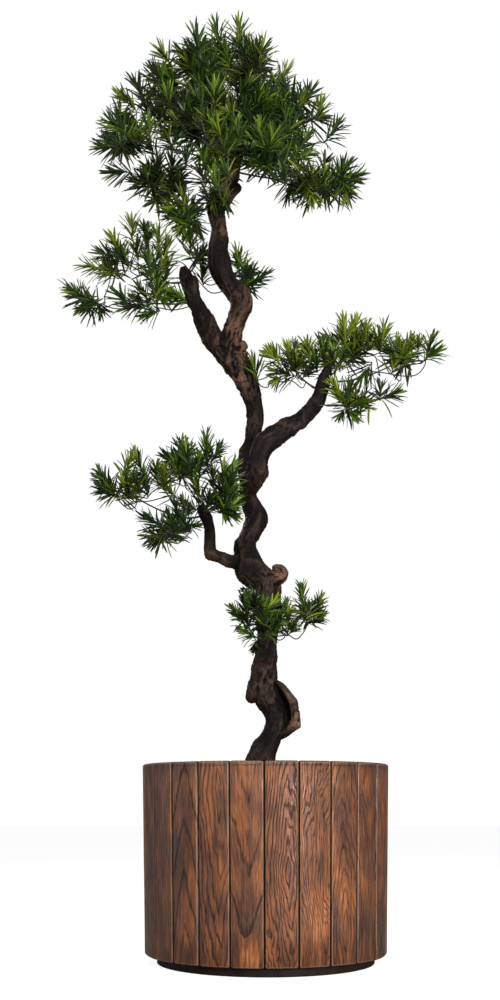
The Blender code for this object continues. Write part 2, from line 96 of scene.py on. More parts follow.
# Corners sharper than this are eased
SHARP_CORNER = math.radians(50)

GOLDEN_ANGLE = math.pi * (3 - math.sqrt(5))

# The height of the stretch of trunk that is clothed in short shoots inside the crown
HEART_LOW, HEART_HIGH = 1.745, 1.915


class Station(NamedTuple):
    """A place on a limb's middle line and the limb's radius there."""
    height: float
    x: float
    y: float
    radius: float


class Mass(NamedTuple):
    """A mass of foliage: the limb that carries it, where its stem starts, and the space it keeps to."""
    limb: str
    stem_height: float
    centre: tuple
    reach: tuple


class TierRule(NamedTuple):
    """How a tier of foliage departs from the settings: how far from the sprays that the photograph shows one
    grown by rule may show, in pixels, its shares of their number and of the leaf length, and the chance that
    a leaf is a tone paler."""
    outline_px: float
    fullness: float
    leaf_share: float
    paler: float


# The trunk, the boughs and the lumps on them, each swept through its stations
LIMBS = {
    "trunk": (
        Station(0.360, -0.009, 0.000, 0.043),
        Station(0.412, -0.005, 0.000, 0.032),
        Station(0.487, 0.021, 0.016, 0.0175),
        Station(0.559, -0.005, 0.020, 0.027),
        Station(0.647, 0.003, -0.010, 0.022),
        Station(0.716, 0.006, -0.027, 0.023),
        Station(0.764, 0.008, -0.034, 0.0245),
        Station(0.781, -0.003, -0.033, 0.0265),
        Station(0.804, -0.029, -0.028, 0.0320),
        Station(0.835, -0.036, -0.018, 0.0275),
        Station(0.872, -0.037, -0.005, 0.0200),
        Station(0.896, -0.028, 0.001, 0.0200),
        Station(0.928, -0.016, 0.007, 0.024),
        Station(0.956, -0.026, 0.011, 0.020),
        Station(0.982, -0.037, 0.015, 0.017),
        Station(1.011, -0.034, 0.018, 0.020),
        Station(1.060, -0.042, 0.032, 0.018),
        Station(1.115, -0.027, 0.044, 0.017),
        Station(1.173, -0.019, 0.046, 0.019),
        Station(1.223, -0.030, 0.036, 0.0225),
        Station(1.247, -0.041, 0.028, 0.0270),
        Station(1.270, -0.055, 0.019, 0.0265),
        Station(1.305, -0.077, 0.002, 0.0285),
        Station(1.343, -0.073, -0.014, 0.0210),
        Station(1.368, -0.062, -0.026, 0.0195),
        Station(1.404, -0.050, -0.034, 0.0245),
        Station(1.433, -0.066, -0.033, 0.0220),
        Station(1.457, -0.083, -0.031, 0.0225),
        Station(1.490, -0.097, -0.028, 0.0245),
        Station(1.540, -0.101, -0.017, 0.0225),
        Station(1.597, -0.099, 0.000, 0.0180),
        Station(1.655, -0.108, 0.014, 0.022),
        Station(1.701, -0.089, 0.020, 0.024),
        Station(1.792, -0.066, 0.008, 0.019),
        Station(1.846, -0.075, -0.006, 0.014),
        Station(1.903, -0.087, -0.014, 0.007),
    ),
    "burl": (
        Station(0.567, 0.008, 0.014, 0.013),
        Station(0.548, 0.028, 0.020, 0.014),
        Station(0.518, 0.043, 0.021, 0.014),
        Station(0.488, 0.048, 0.019, 0.014),
        Station(0.468, 0.040, 0.015, 0.013),
        Station(0.455, 0.022, 0.010, 0.013),
    ),
    "burl_edge": (
        Station(0.573, 0.020, 0.002, 0.0040),
        Station(0.562, 0.034, -0.004, 0.0060),
        Station(0.545, 0.047, -0.010, 0.0075),
        Station(0.528, 0.057, -0.012, 0.0085),
        Station(0.505, 0.0635, -0.012, 0.0090),
        Station(0.482, 0.0625, -0.010, 0.0090),
        Station(0.466, 0.050, -0.004, 0.0090),
        Station(0.457, 0.032, 0.006, 0.0080),
    ),
    "heel": (
        Station(0.580, -0.011, 0.014, 0.018),
        Station(0.558, -0.021, 0.011, 0.018),
        Station(0.537, -0.030, 0.009, 0.012),
    ),
    "curled_knob": (
        Station(0.795, -0.034, -0.036, 0.014),
        Station(0.783, -0.010, -0.040, 0.017),
        Station(0.781, 0.012, -0.043, 0.0170),
        Station(0.783, 0.025, -0.045, 0.0150),
        Station(0.7915, 0.0375, -0.045, 0.0098),
        Station(0.802, 0.0355, -0.047, 0.0078),
        Station(0.8060, 0.027, -0.053, 0.0066),
        Station(0.8040, 0.0185, -0.058, 0.0068),
    ),
    "elbow": (Station(0.838, -0.1150, -0.041, 0.0135), Station(0.833, -0.1185, -0.041, 0.0105)),
    "shoulder": (
        Station(0.833, -0.044, -0.020, 0.0210),
        Station(0.858, -0.051, -0.016, 0.0160),
        Station(0.879, -0.042, -0.012, 0.0110),
        Station(0.903, -0.031, -0.006, 0.0090),
    ),
    "stub": (Station(1.300, -0.070, 0.000, 0.018), Station(1.316, -0.047, -0.006, 0.010)),
    "bough_lump": (Station(1.458, -0.162, 0.034, 0.0140), Station(1.484, -0.162, 0.034, 0.0155)),
    "crown_knob": (Station(1.690, -0.084, 0.018, 0.017), Station(1.702, -0.061, 0.012, 0.0125)),
    "bough_right": (
        Station(0.984, -0.028, 0.000, 0.014),
        Station(1.018, -0.016, -0.018, 0.022),
        Station(1.053, -0.012, -0.022, 0.022),
        Station(1.086, 0.003, -0.018, 0.023),
        Station(1.112, 0.036, -0.014, 0.0215),
        Station(1.131, 0.063, -0.013, 0.0190),
        Station(1.151, 0.092, -0.016, 0.0175),
        Station(1.184, 0.116, -0.022, 0.0160),
        Station(1.226, 0.130, -0.030, 0.0145),
        Station(1.248, 0.136, -0.032, 0.011),
    ),
    "bough_left": (
        Station(1.303, -0.085, 0.000, 0.026),
        Station(1.335, -0.109, 0.010, 0.0240),
        Station(1.371, -0.129, 0.018, 0.0225),
        Station(1.419, -0.149, 0.030, 0.0185),
        Station(1.494, -0.175, 0.046, 0.0160),
        Station(1.521, -0.184, 0.050, 0.0095),
    ),
    "bough_low_arm": (
        Station(0.822, -0.034, -0.020, 0.0220),
        Station(0.824, -0.066, -0.028, 0.0165),
        Station(0.828, -0.089, -0.034, 0.0135),
        Station(0.837, -0.1135, -0.041, 0.0150),
    ),
    "bough_low_riser": (
        Station(0.835, -0.1145, -0.041, 0.0145),
        Station(0.862, -0.116, -0.040, 0.0135),
        Station(0.890, -0.117, -0.036, 0.0135),
        Station(0.920, -0.126, -0.030, 0.0135),
        Station(0.940, -0.137, -0.026, 0.0085),
    ),
}
# How many triangles the fused limbs keep, and the nodes that they stand for
WOOD_TRIANGLES = 190_000
LIMB_NODES = ("trunk", "bough_right", "bough_left", "bough_low_arm", "bough_low_riser")

# The spaces that the foliage keeps to, as the CAD model has them
MASSES = {
    "crown": {
        "crown_top_left": Mass("trunk", 1.880, (-0.140, -0.030, 2.005), (0.090, 0.100, 0.080)),
        "crown_top_right": Mass("trunk", 1.868, (-0.025, 0.050, 2.050), (0.095, 0.100, 0.100)),
        "crown_high_left": Mass("trunk", 1.842, (-0.255, 0.020, 1.975), (0.100, 0.100, 0.075)),
        "crown_left": Mass("trunk", 1.760, (-0.325, -0.020, 1.830), (0.080, 0.100, 0.080)),
        "crown_low_left": Mass("trunk", 1.715, (-0.255, 0.040, 1.745), (0.100, 0.095, 0.060)),
        "crown_high_right": Mass("trunk", 1.830, (0.085, 0.000, 1.915), (0.090, 0.100, 0.075)),
        "crown_low_right": Mass("trunk", 1.740, (0.140, 0.010, 1.725), (0.110, 0.100, 0.060)),
        "crown_front": Mass("trunk", 1.700, (-0.130, -0.130, 1.755), (0.105, 0.080, 0.085)),
        "crown_front_right": Mass("trunk", 1.740, (0.005, -0.100, 1.745), (0.095, 0.080, 0.085)),
        "crown_back": Mass("trunk", 1.815, (-0.155, 0.160, 1.980), (0.125, 0.090, 0.120)),
        "crown_back_right": Mass("trunk", 1.780, (0.030, 0.140, 1.915), (0.110, 0.090, 0.095)),
        "crown_hanging": Mass("trunk", 1.665, (-0.180, -0.020, 1.635), (0.060, 0.060, 0.055)),
    },
    "middle": {
        "middle_far": Mass("bough_left", 1.440, (-0.385, 0.000, 1.455), (0.090, 0.100, 0.060)),
        "middle_high": Mass("bough_left", 1.495, (-0.330, 0.070, 1.580), (0.090, 0.100, 0.088)),
        "middle_near": Mass("bough_left", 1.475, (-0.235, -0.060, 1.460), (0.080, 0.090, 0.085)),
        "middle_inner": Mass("bough_left", 1.512, (-0.155, 0.070, 1.590), (0.050, 0.070, 0.085)),
        "middle_back": Mass("trunk", 1.480, (-0.035, 0.100, 1.550), (0.070, 0.080, 0.070)),
    },
    "right": {
        "right_inner": Mass("bough_right", 1.205, (0.045, -0.020, 1.295), (0.090, 0.100, 0.060)),
        "right_high": Mass("bough_right", 1.240, (0.185, 0.050, 1.340), (0.090, 0.100, 0.085)),
        "right_far": Mass("bough_right", 1.230, (0.315, 0.010, 1.310), (0.090, 0.100, 0.070)),
        "right_low": Mass("bough_right", 1.212, (0.220, -0.080, 1.170), (0.095, 0.090, 0.050)),
    },
    "low": {
        "low_far": Mass("bough_low_riser", 0.925, (-0.315, -0.020, 1.005), (0.070, 0.100, 0.070)),
        "low_high": Mass("bough_low_riser", 0.940, (-0.185, 0.040, 1.065), (0.090, 0.110, 0.085)),
        "low_inner": Mass("bough_low_riser", 0.930, (-0.090, -0.080, 0.970), (0.055, 0.070, 0.075)),
        "low_under": Mass("bough_low_riser", 0.905, (-0.220, -0.080, 0.895), (0.085, 0.080, 0.050)),
    },
    "base": {
        "base_front": Mass("trunk", 0.660, (-0.005, -0.085, 0.705), (0.070, 0.060, 0.065)),
        "base_side": Mass("trunk", 0.675, (0.090, -0.030, 0.730), (0.045, 0.065, 0.055)),
        "base_back": Mass("trunk", 0.668, (0.010, 0.055, 0.740), (0.070, 0.060, 0.060)),
    },
}

# Sprays that the photograph shows, in its pixels: where each starts, how far its leaves reach, and its tone
SPRAYS = {
    "crown": (
        (198, 58, 195, 17, "mid"), (222, 52, 213, 12, "mid"), (238, 48, 238, 12, "bright"),
        (193, 72, 179, 44, "young"), (171, 65, 154, 41, "bright"), (166, 88, 144, 57, "mid"),
        (147, 106, 128, 69, "deep"), (137, 112, 109, 86, "bright"), (127, 134, 98, 110, "mid"),
        (120, 148, 87, 145, "deep"), (132, 173, 97, 172, "deep"), (162, 177, 131, 184, "mid"),
        (184, 190, 157, 195, "mid"), (187, 207, 157, 206, "bright"), (192, 222, 167, 216, "mid"),
        (142, 130, 116, 112, "bright"), (152, 142, 143, 108, "bright"), (172, 112, 162, 76, "bright"),
        (178, 86, 158, 60, "mid"), (203, 92, 199, 60, "deep"), (215, 108, 214, 74, "bright"),
        (206, 112, 188, 84, "mid"), (230, 68, 222, 34, "mid"), (185, 118, 186, 82, "deep"),
        (162, 128, 153, 96, "deep"), (176, 152, 158, 124, "mid"), (172, 178, 172, 146, "deep"),
        (160, 180, 138, 158, "mid"), (186, 168, 187, 142, "mid"), (204, 170, 204, 140, "bright"),
        (180, 196, 178, 166, "deep"), (222, 138, 206, 112, "bright"), (226, 142, 242, 114, "bright"),
        (142, 152, 122, 134, "deep"), (192, 126, 178, 100, "deep"), (150, 186, 142, 162, "mid"),
        (261, 64, 264, 29, "bright"), (278, 94, 290, 57, "young"), (258, 80, 254, 35, "deep"),
        (259, 112, 263, 72, "mid"), (274, 116, 273, 82, "bright"), (240, 112, 243, 74, "deep"),
        (292, 114, 312, 85, "bright"), (318, 120, 325, 90, "young"), (324, 143, 345, 114, "deep"),
        (286, 134, 303, 114, "bright"), (284, 162, 322, 148, "bright"), (268, 152, 277, 120, "bright"),
        (260, 142, 257, 112, "bright"), (240, 142, 237, 114, "mid"), (254, 124, 234, 106, "deep"),
        (268, 172, 263, 144, "deep"), (286, 186, 278, 158, "mid"), (306, 190, 318, 162, "bright"),
        (340, 186, 346, 152, "mid"), (338, 184, 371, 170, "mid"), (342, 176, 350, 207, "bright"),
        (306, 180, 316, 210, "bright"), (290, 176, 288, 208, "deep"), (318, 192, 330, 162, "mid"),
        (220, 192, 206, 164, "mid"), (215, 186, 212, 214, "mid"),
        (222, 192, 228, 216, "deep"), (230, 178, 218, 158, "bright"), (192, 222, 172, 232, "bright"),
        (193, 221, 209, 242, "mid"), (191, 222, 188, 246, "bright"), (193, 219, 200, 205, "deep"),
        (240, 92, 226, 66, "mid"), (250, 98, 250, 66, "mid"), (212, 128, 196, 104, "mid"),
        (210, 74, 212, 46, "deep"), (246, 62, 244, 34, "deep"), (290, 132, 282, 104, "mid"),
        (300, 172, 296, 146, "bright"), (262, 168, 246, 150, "mid"), (150, 118, 140, 92, "mid"),
        (170, 150, 186, 126, "deep"), (156, 156, 140, 136, "deep"), (238, 126, 222, 100, "bright"),
        (282, 112, 286, 84, "mid"), (300, 150, 312, 126, "mid"), (322, 168, 330, 150, "mid"),
        (224, 206, 216, 178, "mid"), (214, 206, 202, 186, "deep"),
        (218, 176, 212, 150, "bright"), (226, 158, 218, 132, "mid"),
        (206, 186, 196, 162, "mid"), (244, 158, 256, 140, "deep"),
    ),
    "middle": (
        (100, 304, 56, 281, "mid"), (112, 271, 72, 262, "bright"), (118, 279, 101, 250, "mid"),
        (125, 263, 107, 226, "bright"), (133, 241, 132, 207, "young"), (145, 253, 148, 218, "mid"),
        (159, 258, 157, 219, "bright"), (161, 270, 171, 229, "bright"), (150, 282, 148, 244, "mid"),
        (131, 272, 118, 242, "deep"), (130, 306, 108, 284, "deep"), (149, 302, 132, 277, "deep"),
        (156, 303, 157, 265, "bright"), (154, 304, 112, 310, "mid"), (160, 311, 134, 318, "mid"),
        (187, 302, 162, 285, "mid"), (186, 298, 158, 297, "bright"), (190, 258, 190, 222, "bright"),
        (196, 264, 209, 242, "mid"), (203, 286, 205, 256, "mid"), (138, 262, 134, 232, "mid"),
        (165, 284, 168, 252, "deep"), (100, 304, 74, 312, "mid"), (99, 304, 103, 320, "deep"),
        (240, 272, 236, 240, "bright"), (243, 288, 250, 258, "mid"),
        (243, 288, 276, 268, "deep"), (142, 300, 128, 296, "mid"), (146, 232, 141, 222, "mid"),
    ),
    "right": (
        (258, 380, 248, 349, "mid"), (281, 366, 263, 342, "bright"), (291, 361, 287, 335, "bright"),
        (310, 363, 304, 330, "bright"), (297, 376, 264, 367, "mid"), (281, 378, 268, 384, "mid"),
        (318, 372, 312, 342, "mid"), (325, 364, 321, 329, "deep"), (345, 350, 343, 308, "young"),
        (351, 362, 355, 318, "mid"), (361, 352, 368, 314, "bright"), (380, 353, 386, 315, "bright"),
        (381, 352, 371, 325, "mid"), (393, 352, 400, 333, "mid"), (402, 363, 416, 327, "bright"),
        (426, 360, 435, 326, "mid"), (424, 360, 446, 345, "mid"), (418, 352, 419, 332, "mid"),
        (392, 374, 398, 346, "bright"), (372, 362, 352, 392, "deep"), (345, 406, 328, 372, "young"),
        (346, 410, 352, 374, "mid"), (345, 407, 381, 397, "bright"), (346, 410, 363, 422, "mid"),
        (344, 409, 336, 421, "mid"), (381, 399, 408, 388, "mid"), (380, 399, 380, 376, "deep"),
        (335, 370, 330, 340, "mid"), (303, 378, 318, 362, "deep"), (366, 352, 374, 330, "deep"),
        (340, 372, 342, 344, "mid"), (296, 372, 296, 346, "mid"), (405, 360, 396, 336, "mid"),
    ),
    "low": (
        (116, 497, 92, 461, "mid"), (115, 496, 90, 485, "deep"), (134, 501, 118, 470, "mid"),
        (148, 488, 132, 442, "mid"), (157, 484, 155, 454, "mid"), (165, 492, 163, 456, "bright"),
        (180, 484, 172, 449, "bright"), (193, 480, 184, 433, "mid"), (205, 511, 192, 470, "bright"),
        (206, 512, 211, 486, "deep"),
        (208, 470, 206, 423, "mid"), (211, 462, 225, 438, "deep"), (220, 512, 223, 450, "mid"),
        (221, 513, 242, 482, "mid"), (221, 512, 240, 500, "mid"), (220, 512, 244, 517, "bright"),
        (214, 492, 213, 460, "deep"), (176, 498, 158, 478, "bright"), (140, 494, 130, 466, "mid"),
        (189, 518, 178, 492, "deep"), (188, 532, 180, 508, "deep"), (166, 532, 134, 511, "deep"),
        (165, 535, 135, 536, "mid"), (176, 532, 164, 506, "deep"), (190, 528, 200, 524, "mid"),
        (148, 498, 142, 468, "deep"), (200, 478, 198, 448, "mid"), (228, 496, 236, 462, "mid"),
        (166, 536, 146, 548, "deep"), (186, 470, 176, 444, "mid"), (179, 521, 172, 493, "deep"),
        (198, 510, 180, 500, "deep"),
    ),
    "base": (
        (247, 630, 242, 587, "mid"), (246, 622, 226, 602, "mid"), (255, 637, 234, 626, "mid"),
        (264, 640, 262, 590, "mid"), (272, 626, 274, 590, "mid"), (288, 636, 286, 593, "mid"),
        (290, 634, 298, 616, "mid"), (307, 622, 300, 576, "mid"), (308, 624, 325, 590, "mid"),
        (308, 624, 329, 610, "mid"), (256, 640, 254, 655, "deep"), (280, 622, 282, 598, "mid"),
        (254, 612, 255, 590, "deep"), (266, 628, 250, 604, "mid"), (270, 632, 284, 612, "mid"),
        (268, 628, 267, 590, "deep"),
    ),
}

# Bare wires that loop below the sprays, through the photograph's pixels
WIRES = {
    "crown": (
        ((200, 190), (205, 197), (208, 204)), ((182, 126), (190, 134), (200, 138), (212, 146)),
        ((248, 182), (258, 174), (270, 178), (282, 176)), ((308, 150), (318, 142), (324, 142), (330, 134)),
    ),
    "middle": (
        ((99, 304), (106, 307), (114, 304), (125, 303)), ((160, 308), (174, 310), (190, 306)),
        ((160, 281), (170, 278), (182, 279)), ((170, 262), (178, 261), (186, 266)),
        ((202, 281), (209, 285), (217, 283)), ((205, 288), (212, 293), (224, 290)),
        ((243, 289), (238, 290), (230, 286)),
    ),
    "right": (
        ((256, 378), (261, 386), (268, 387), (270, 382), (280, 382), (292, 381), (302, 388)),
        ((298, 378), (306, 382), (313, 388)),
        ((345, 362), (365, 370), (385, 373), (402, 376), (416, 375), (424, 367), (426, 359)),
        ((376, 358), (378, 367), (380, 376)), ((400, 362), (401, 372), (400, 381)),
        ((324, 404), (333, 406), (346, 405)), ((345, 407), (360, 404), (372, 402), (382, 398)),
    ),
    "low": (
        ((116, 497), (122, 504), (129, 509), (135, 507), (137, 501)),
        ((125, 506), (138, 502), (150, 501), (168, 496)), ((165, 534), (170, 541), (179, 543), (190, 532)),
        ((220, 512), (213, 508), (207, 512)),
    ),
    "base": (
        ((262, 632), (270, 635), (279, 636), (288, 635), (297, 639), (305, 630), (308, 621)),
        ((268, 634), (278, 640), (284, 638)),
    ),
}

# Gaps where the photograph shows sky or bare trunk through the foliage: middle and radius, in its pixels
SKY_GAPS = (
    (232, 150, 6), (236, 161, 6), (240, 172, 7), (240, 184, 7),
    (192, 128, 8), (190, 141, 8), (201, 137, 5), (209, 144, 4), (194, 156, 5), (197, 172, 6), (197, 196, 9),
    (184, 201, 4), (135, 155, 8), (130, 162, 6), (135, 173, 5), (190, 87, 4), (137, 97, 4), (155, 100, 4),
    (146, 95, 4), (236, 80, 8), (238, 68, 5), (249, 92, 4), (239, 99, 4), (270, 78, 4), (286, 101, 4),
    (305, 114, 7), (316, 130, 8), (280, 122, 4), (304, 173, 5), (242, 182, 4), (262, 177, 6),
    (135, 262, 5), (133, 272, 7), (150, 280, 4), (177, 247, 5), (177, 256, 6), (176, 270, 8), (167, 277, 4),
    (206, 214, 5), (204, 232, 4), (107, 291, 6), (90, 276, 5), (166, 304, 4), (222, 300, 14), (210, 282, 8),
    (365, 356, 5), (354, 363, 5), (372, 378, 9), (386, 372, 9), (402, 374, 9), (346, 361, 4), (269, 371, 5),
    (300, 364, 4), (308, 375, 4), (290, 384, 8), (420, 366, 8), (330, 392, 5), (392, 362, 4),
    (122, 489, 6), (161, 503, 6), (150, 510, 6), (186, 491, 4), (208, 465, 4), (204, 488, 5), (213, 498, 5),
    (196, 516, 4), (238, 512, 6), (128, 503, 5), (283, 606, 4), (296, 617, 4), (280, 634, 3), (300, 630, 5),
)

TIER_RULES = {
    "crown": TierRule(7, 1.6, 1.0, 0.0),
    "middle": TierRule(4, 1.15, 0.92, 0.18),
    "right": TierRule(4.5, 1.0, 0.95, 0.58),
    "low": TierRule(5, 1.15, 0.85, 0.04),
    "base": TierRule(4, 1.0, 0.70, 0.22),
}

# The front view hides these, so the outline in the photograph doesn't thin them
HIDDEN_MASSES = ("crown_back", "crown_back_right")


def linear(colour):
    """An sRGB hex colour as linear red, green and blue."""
    parts = [int(colour[start:start + 2], 16) / 255 for start in (1, 3, 5)]
    return tuple(part / 12.92 if part <= 0.04045 else ((part + 0.055) / 1.055) ** 2.4 for part in parts)


def opaque(colour):
    return (*linear(colour), 1.0)


def grey(level):
    return (level, level, level, 1.0)


def add_node(tree, kind, sockets=(), **settings):
    """A node with its settings. Each socket gets a plain value or another node's output."""
    made = tree.nodes.new(kind)
    for name, value in settings.items():
        setattr(made, name, value)
    for place, value in dict(sockets).items():
        if isinstance(value, bpy.types.NodeSocket):
            tree.links.new(value, made.inputs[place])
        else:
            made.inputs[place].default_value = value
    return made


class Skin:
    """A Principled material, with a short name for each kind of node that feeds it."""

    def __init__(self, name, colour, surface):
        """The plain colour and the other plain values are set on the shader's own sockets."""
        self.material = bpy.data.materials.new(name)
        self.material.use_nodes = True
        self.tree = self.material.node_tree
        self.shader = self.tree.nodes["Principled BSDF"]
        for socket, value in {"Base Color": opaque(colour), **surface}.items():
            self.shader.inputs[socket].default_value = value

    def feed(self, outputs):
        """Joins each named socket of the shader to a node's output."""
        for socket, output in outputs.items():
            self.tree.links.new(output, self.shader.inputs[socket])

    def node(self, kind, sockets=(), **settings):
        return add_node(self.tree, kind, sockets, **settings).outputs

    def place(self):
        """The place on the piece, in its own axes."""
        return self.node("ShaderNodeTexCoord")["Object"]

    def attribute(self, name, kind="Fac"):
        return self.node("ShaderNodeAttribute", attribute_name=name)[kind]

    def parts(self, vector):
        return self.node("ShaderNodeSeparateXYZ", {0: vector})

    def maths(self, operation, first, second=0.0, third=0.0):
        return self.node("ShaderNodeMath", {0: first, 1: second, 2: third}, operation=operation)[0]

    def scaled(self, vector, scale):
        return self.node("ShaderNodeMapping", {"Vector": vector, "Scale": scale})[0]

    def noise(self, vector, detail=2.0, roughness=0.5, scale=1.0):
        """Cloudy noise between 0 and 1."""
        return self.node("ShaderNodeTexNoise", {"Vector": vector, "Scale": scale, "Detail": detail,
                                                "Roughness": roughness})["Fac"]

    def ranged(self, value, low, high, new_low=0.0, new_high=1.0):
        """The value moved from one range to another, and kept inside it."""
        return self.node("ShaderNodeMapRange", {"Value": value, "From Min": low, "From Max": high,
                                                "To Min": new_low, "To Max": new_high})[0]

    def mixed(self, share, first, second):
        return self.node("ShaderNodeMix", {0: share, 6: first, 7: second}, data_type="RGBA")[2]

    def ramp(self, value, *stops):
        """A colour for each value, blended between stops that each have a value and a colour."""
        made = add_node(self.tree, "ShaderNodeValToRGB", {"Fac": value})
        elements = made.color_ramp.elements
        while len(elements) < len(stops):
            elements.new(0.5)
        for element, (place, colour) in zip(elements, stops):
            element.position = place
            element.color = colour
        return made.outputs["Color"]

    def bump(self, height, distance, strength):
        return self.node("ShaderNodeBump", {"Height": height, "Distance": distance, "Strength": strength})[0]


def plain_skin(name, colour, surface):
    """A material of plain values only, which every tier of foliage shares."""
    return bpy.data.materials.get(name) or Skin(name, colour, surface).material


def deselect_all():
    for thing in bpy.context.selected_objects:
        thing.select_set(False)


def select_only(thing):
    deselect_all()
    thing.select_set(True)
    bpy.context.view_layer.objects.active = thing


def name_active(name):
    """Names the active object and its data alike."""
    thing = bpy.context.object
    thing.name = name
    thing.data.name = name
    return thing


def apply_modifier(thing, kind, **settings):
    """Works a modifier with its settings into the mesh."""
    select_only(thing)
    change = thing.modifiers.new(kind.title(), kind)
    for name, value in settings.items():
        setattr(change, name, value)
    bpy.ops.object.modifier_apply(modifier=change.name)


def points_of(mesh):
    flat = np.empty(len(mesh.vertices) * 3, np.float32)
    mesh.vertices.foreach_get("co", flat)
    return flat.reshape(-1, 3).astype(float)


def set_points(mesh, points):
    mesh.vertices.foreach_set("co", points.astype(np.float32).ravel())
    mesh.update()


def store(mesh, name, values):
    """Keeps a number or a vector for each vertex as an attribute that a material reads."""
    kind, key = ("FLOAT", "value") if values.ndim == 1 else ("FLOAT_VECTOR", "vector")
    attribute = mesh.attributes.new(name, kind, "POINT")
    attribute.data.foreach_set(key, values.astype(np.float32).ravel())


def settle(piece, slot, *nodes):
    """The piece moves with the object, and stands for CAD nodes, which are hidden. The slot is not used."""
    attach(piece, "root")
    if nodes:
        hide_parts(*nodes)


def lumps(points, seed=0):
    """Smooth noise between -1 and 1 at each point, with lumps a unit wide."""
    cell = np.floor(points).astype(np.int64)
    part = points - cell
    part = part * part * (3 - 2 * part)
    total = np.zeros(len(points))
    for corner in np.ndindex(2, 2, 2):
        # The corner's place and the seed are scattered into a number that looks drawn by lot
        key = (cell + corner) @ np.array((73856093, 19349663, 83492791)) + seed * 7919
        key = (key ^ (key >> 13)) * 1274126177 & 0x7FFFFFFF
        key = (key ^ (key >> 11)) * 69069 & 0x7FFFFFFF
        weight = np.prod(np.where(corner, part, 1 - part), axis=1)
        total += weight * ((key >> 7) % 4096 / 2048 - 1)
    return total


def in_photo(point):
    """The pixel of the photograph at which a point shows."""
    away = point - CAMERA_PLACE
    depth = away.y * math.cos(CAMERA_PITCH) + away.z * math.sin(CAMERA_PITCH)
    rise = away.z * math.cos(CAMERA_PITCH) - away.y * math.sin(CAMERA_PITCH)
    return AXIS_U + FOCAL_PX * away.x / depth, AXIS_V - FOCAL_PX * rise / depth


def out_of_photo(u, v, y):
    """The point behind a pixel at a depth."""
    slope = (AXIS_V - v) / FOCAL_PX
    run = y - CAMERA_PLACE.y
    sine, cosine = math.sin(CAMERA_PITCH), math.cos(CAMERA_PITCH)
    rise = run * (sine + slope * cosine) / (cosine - slope * sine)
    depth = run * cosine + rise * sine
    return Vector((CAMERA_PLACE.x + (u - AXIS_U) * depth / FOCAL_PX, y, CAMERA_PLACE.z + rise))


# Planter

class BoardGrain(NamedTuple):
    """A stave's figure: the middle of its arches across and up, how fast they close, their spacing, how far
    they wave, how bold they are, and the board's tone."""
    across: float
    up: float
    slope: float
    spacing: float
    waves: float
    bold: float
    tone: float


# The staves that the photograph shows, by their place in the round
FRONT_BOARDS = {
    19: BoardGrain(0.030, 0.300, 0.040, 0.0060, 0.5, 0.45, 0.34),
    20: BoardGrain(0.030, 0.300, 0.040, 0.0060, 0.5, 0.50, 0.40),
    21: BoardGrain(0.002, -0.020, 0.200, 0.0200, 0.3, 0.95, 0.38),
    22: BoardGrain(0.012, 0.318, 0.150, 0.0085, 0.8, 0.85, 0.41),
    23: BoardGrain(0.001, 0.560, 0.200, 0.0260, 0.3, 1.00, 0.41),
    0: BoardGrain(0.013, 0.170, 0.160, 0.0058, 0.9, 0.90, 0.48),
    1: BoardGrain(-0.050, 0.520, 0.040, 0.0066, 1.9, 0.85, 0.49),
    2: BoardGrain(0.003, 0.062, 0.200, 0.0085, 0.8, 0.65, 0.40),
    3: BoardGrain(-0.030, 0.250, 0.060, 0.0080, 0.9, 0.55, 0.36),
    4: BoardGrain(0.010, 0.400, 0.100, 0.0070, 0.7, 0.60, 0.34),
}


def board_grain(index):
    """The figure of a stave: the front ones follow the photograph, and the others are drawn by lot."""
    if index in FRONT_BOARDS:
        return FRONT_BOARDS[index]
    chance = random.Random(f"board {index}")
    up = chance.choice((-0.08, -0.02, 0.12, 0.44, 0.52))
    return BoardGrain(chance.uniform(-0.020, 0.020), up, chance.uniform(0.10, 0.24),
                      chance.choice((0.0065, 0.0075, 0.0100, 0.0180, 0.0240)), chance.uniform(0.3, 1.3),
                      chance.uniform(0.5, 1.0), chance.uniform(0.34, 0.60))


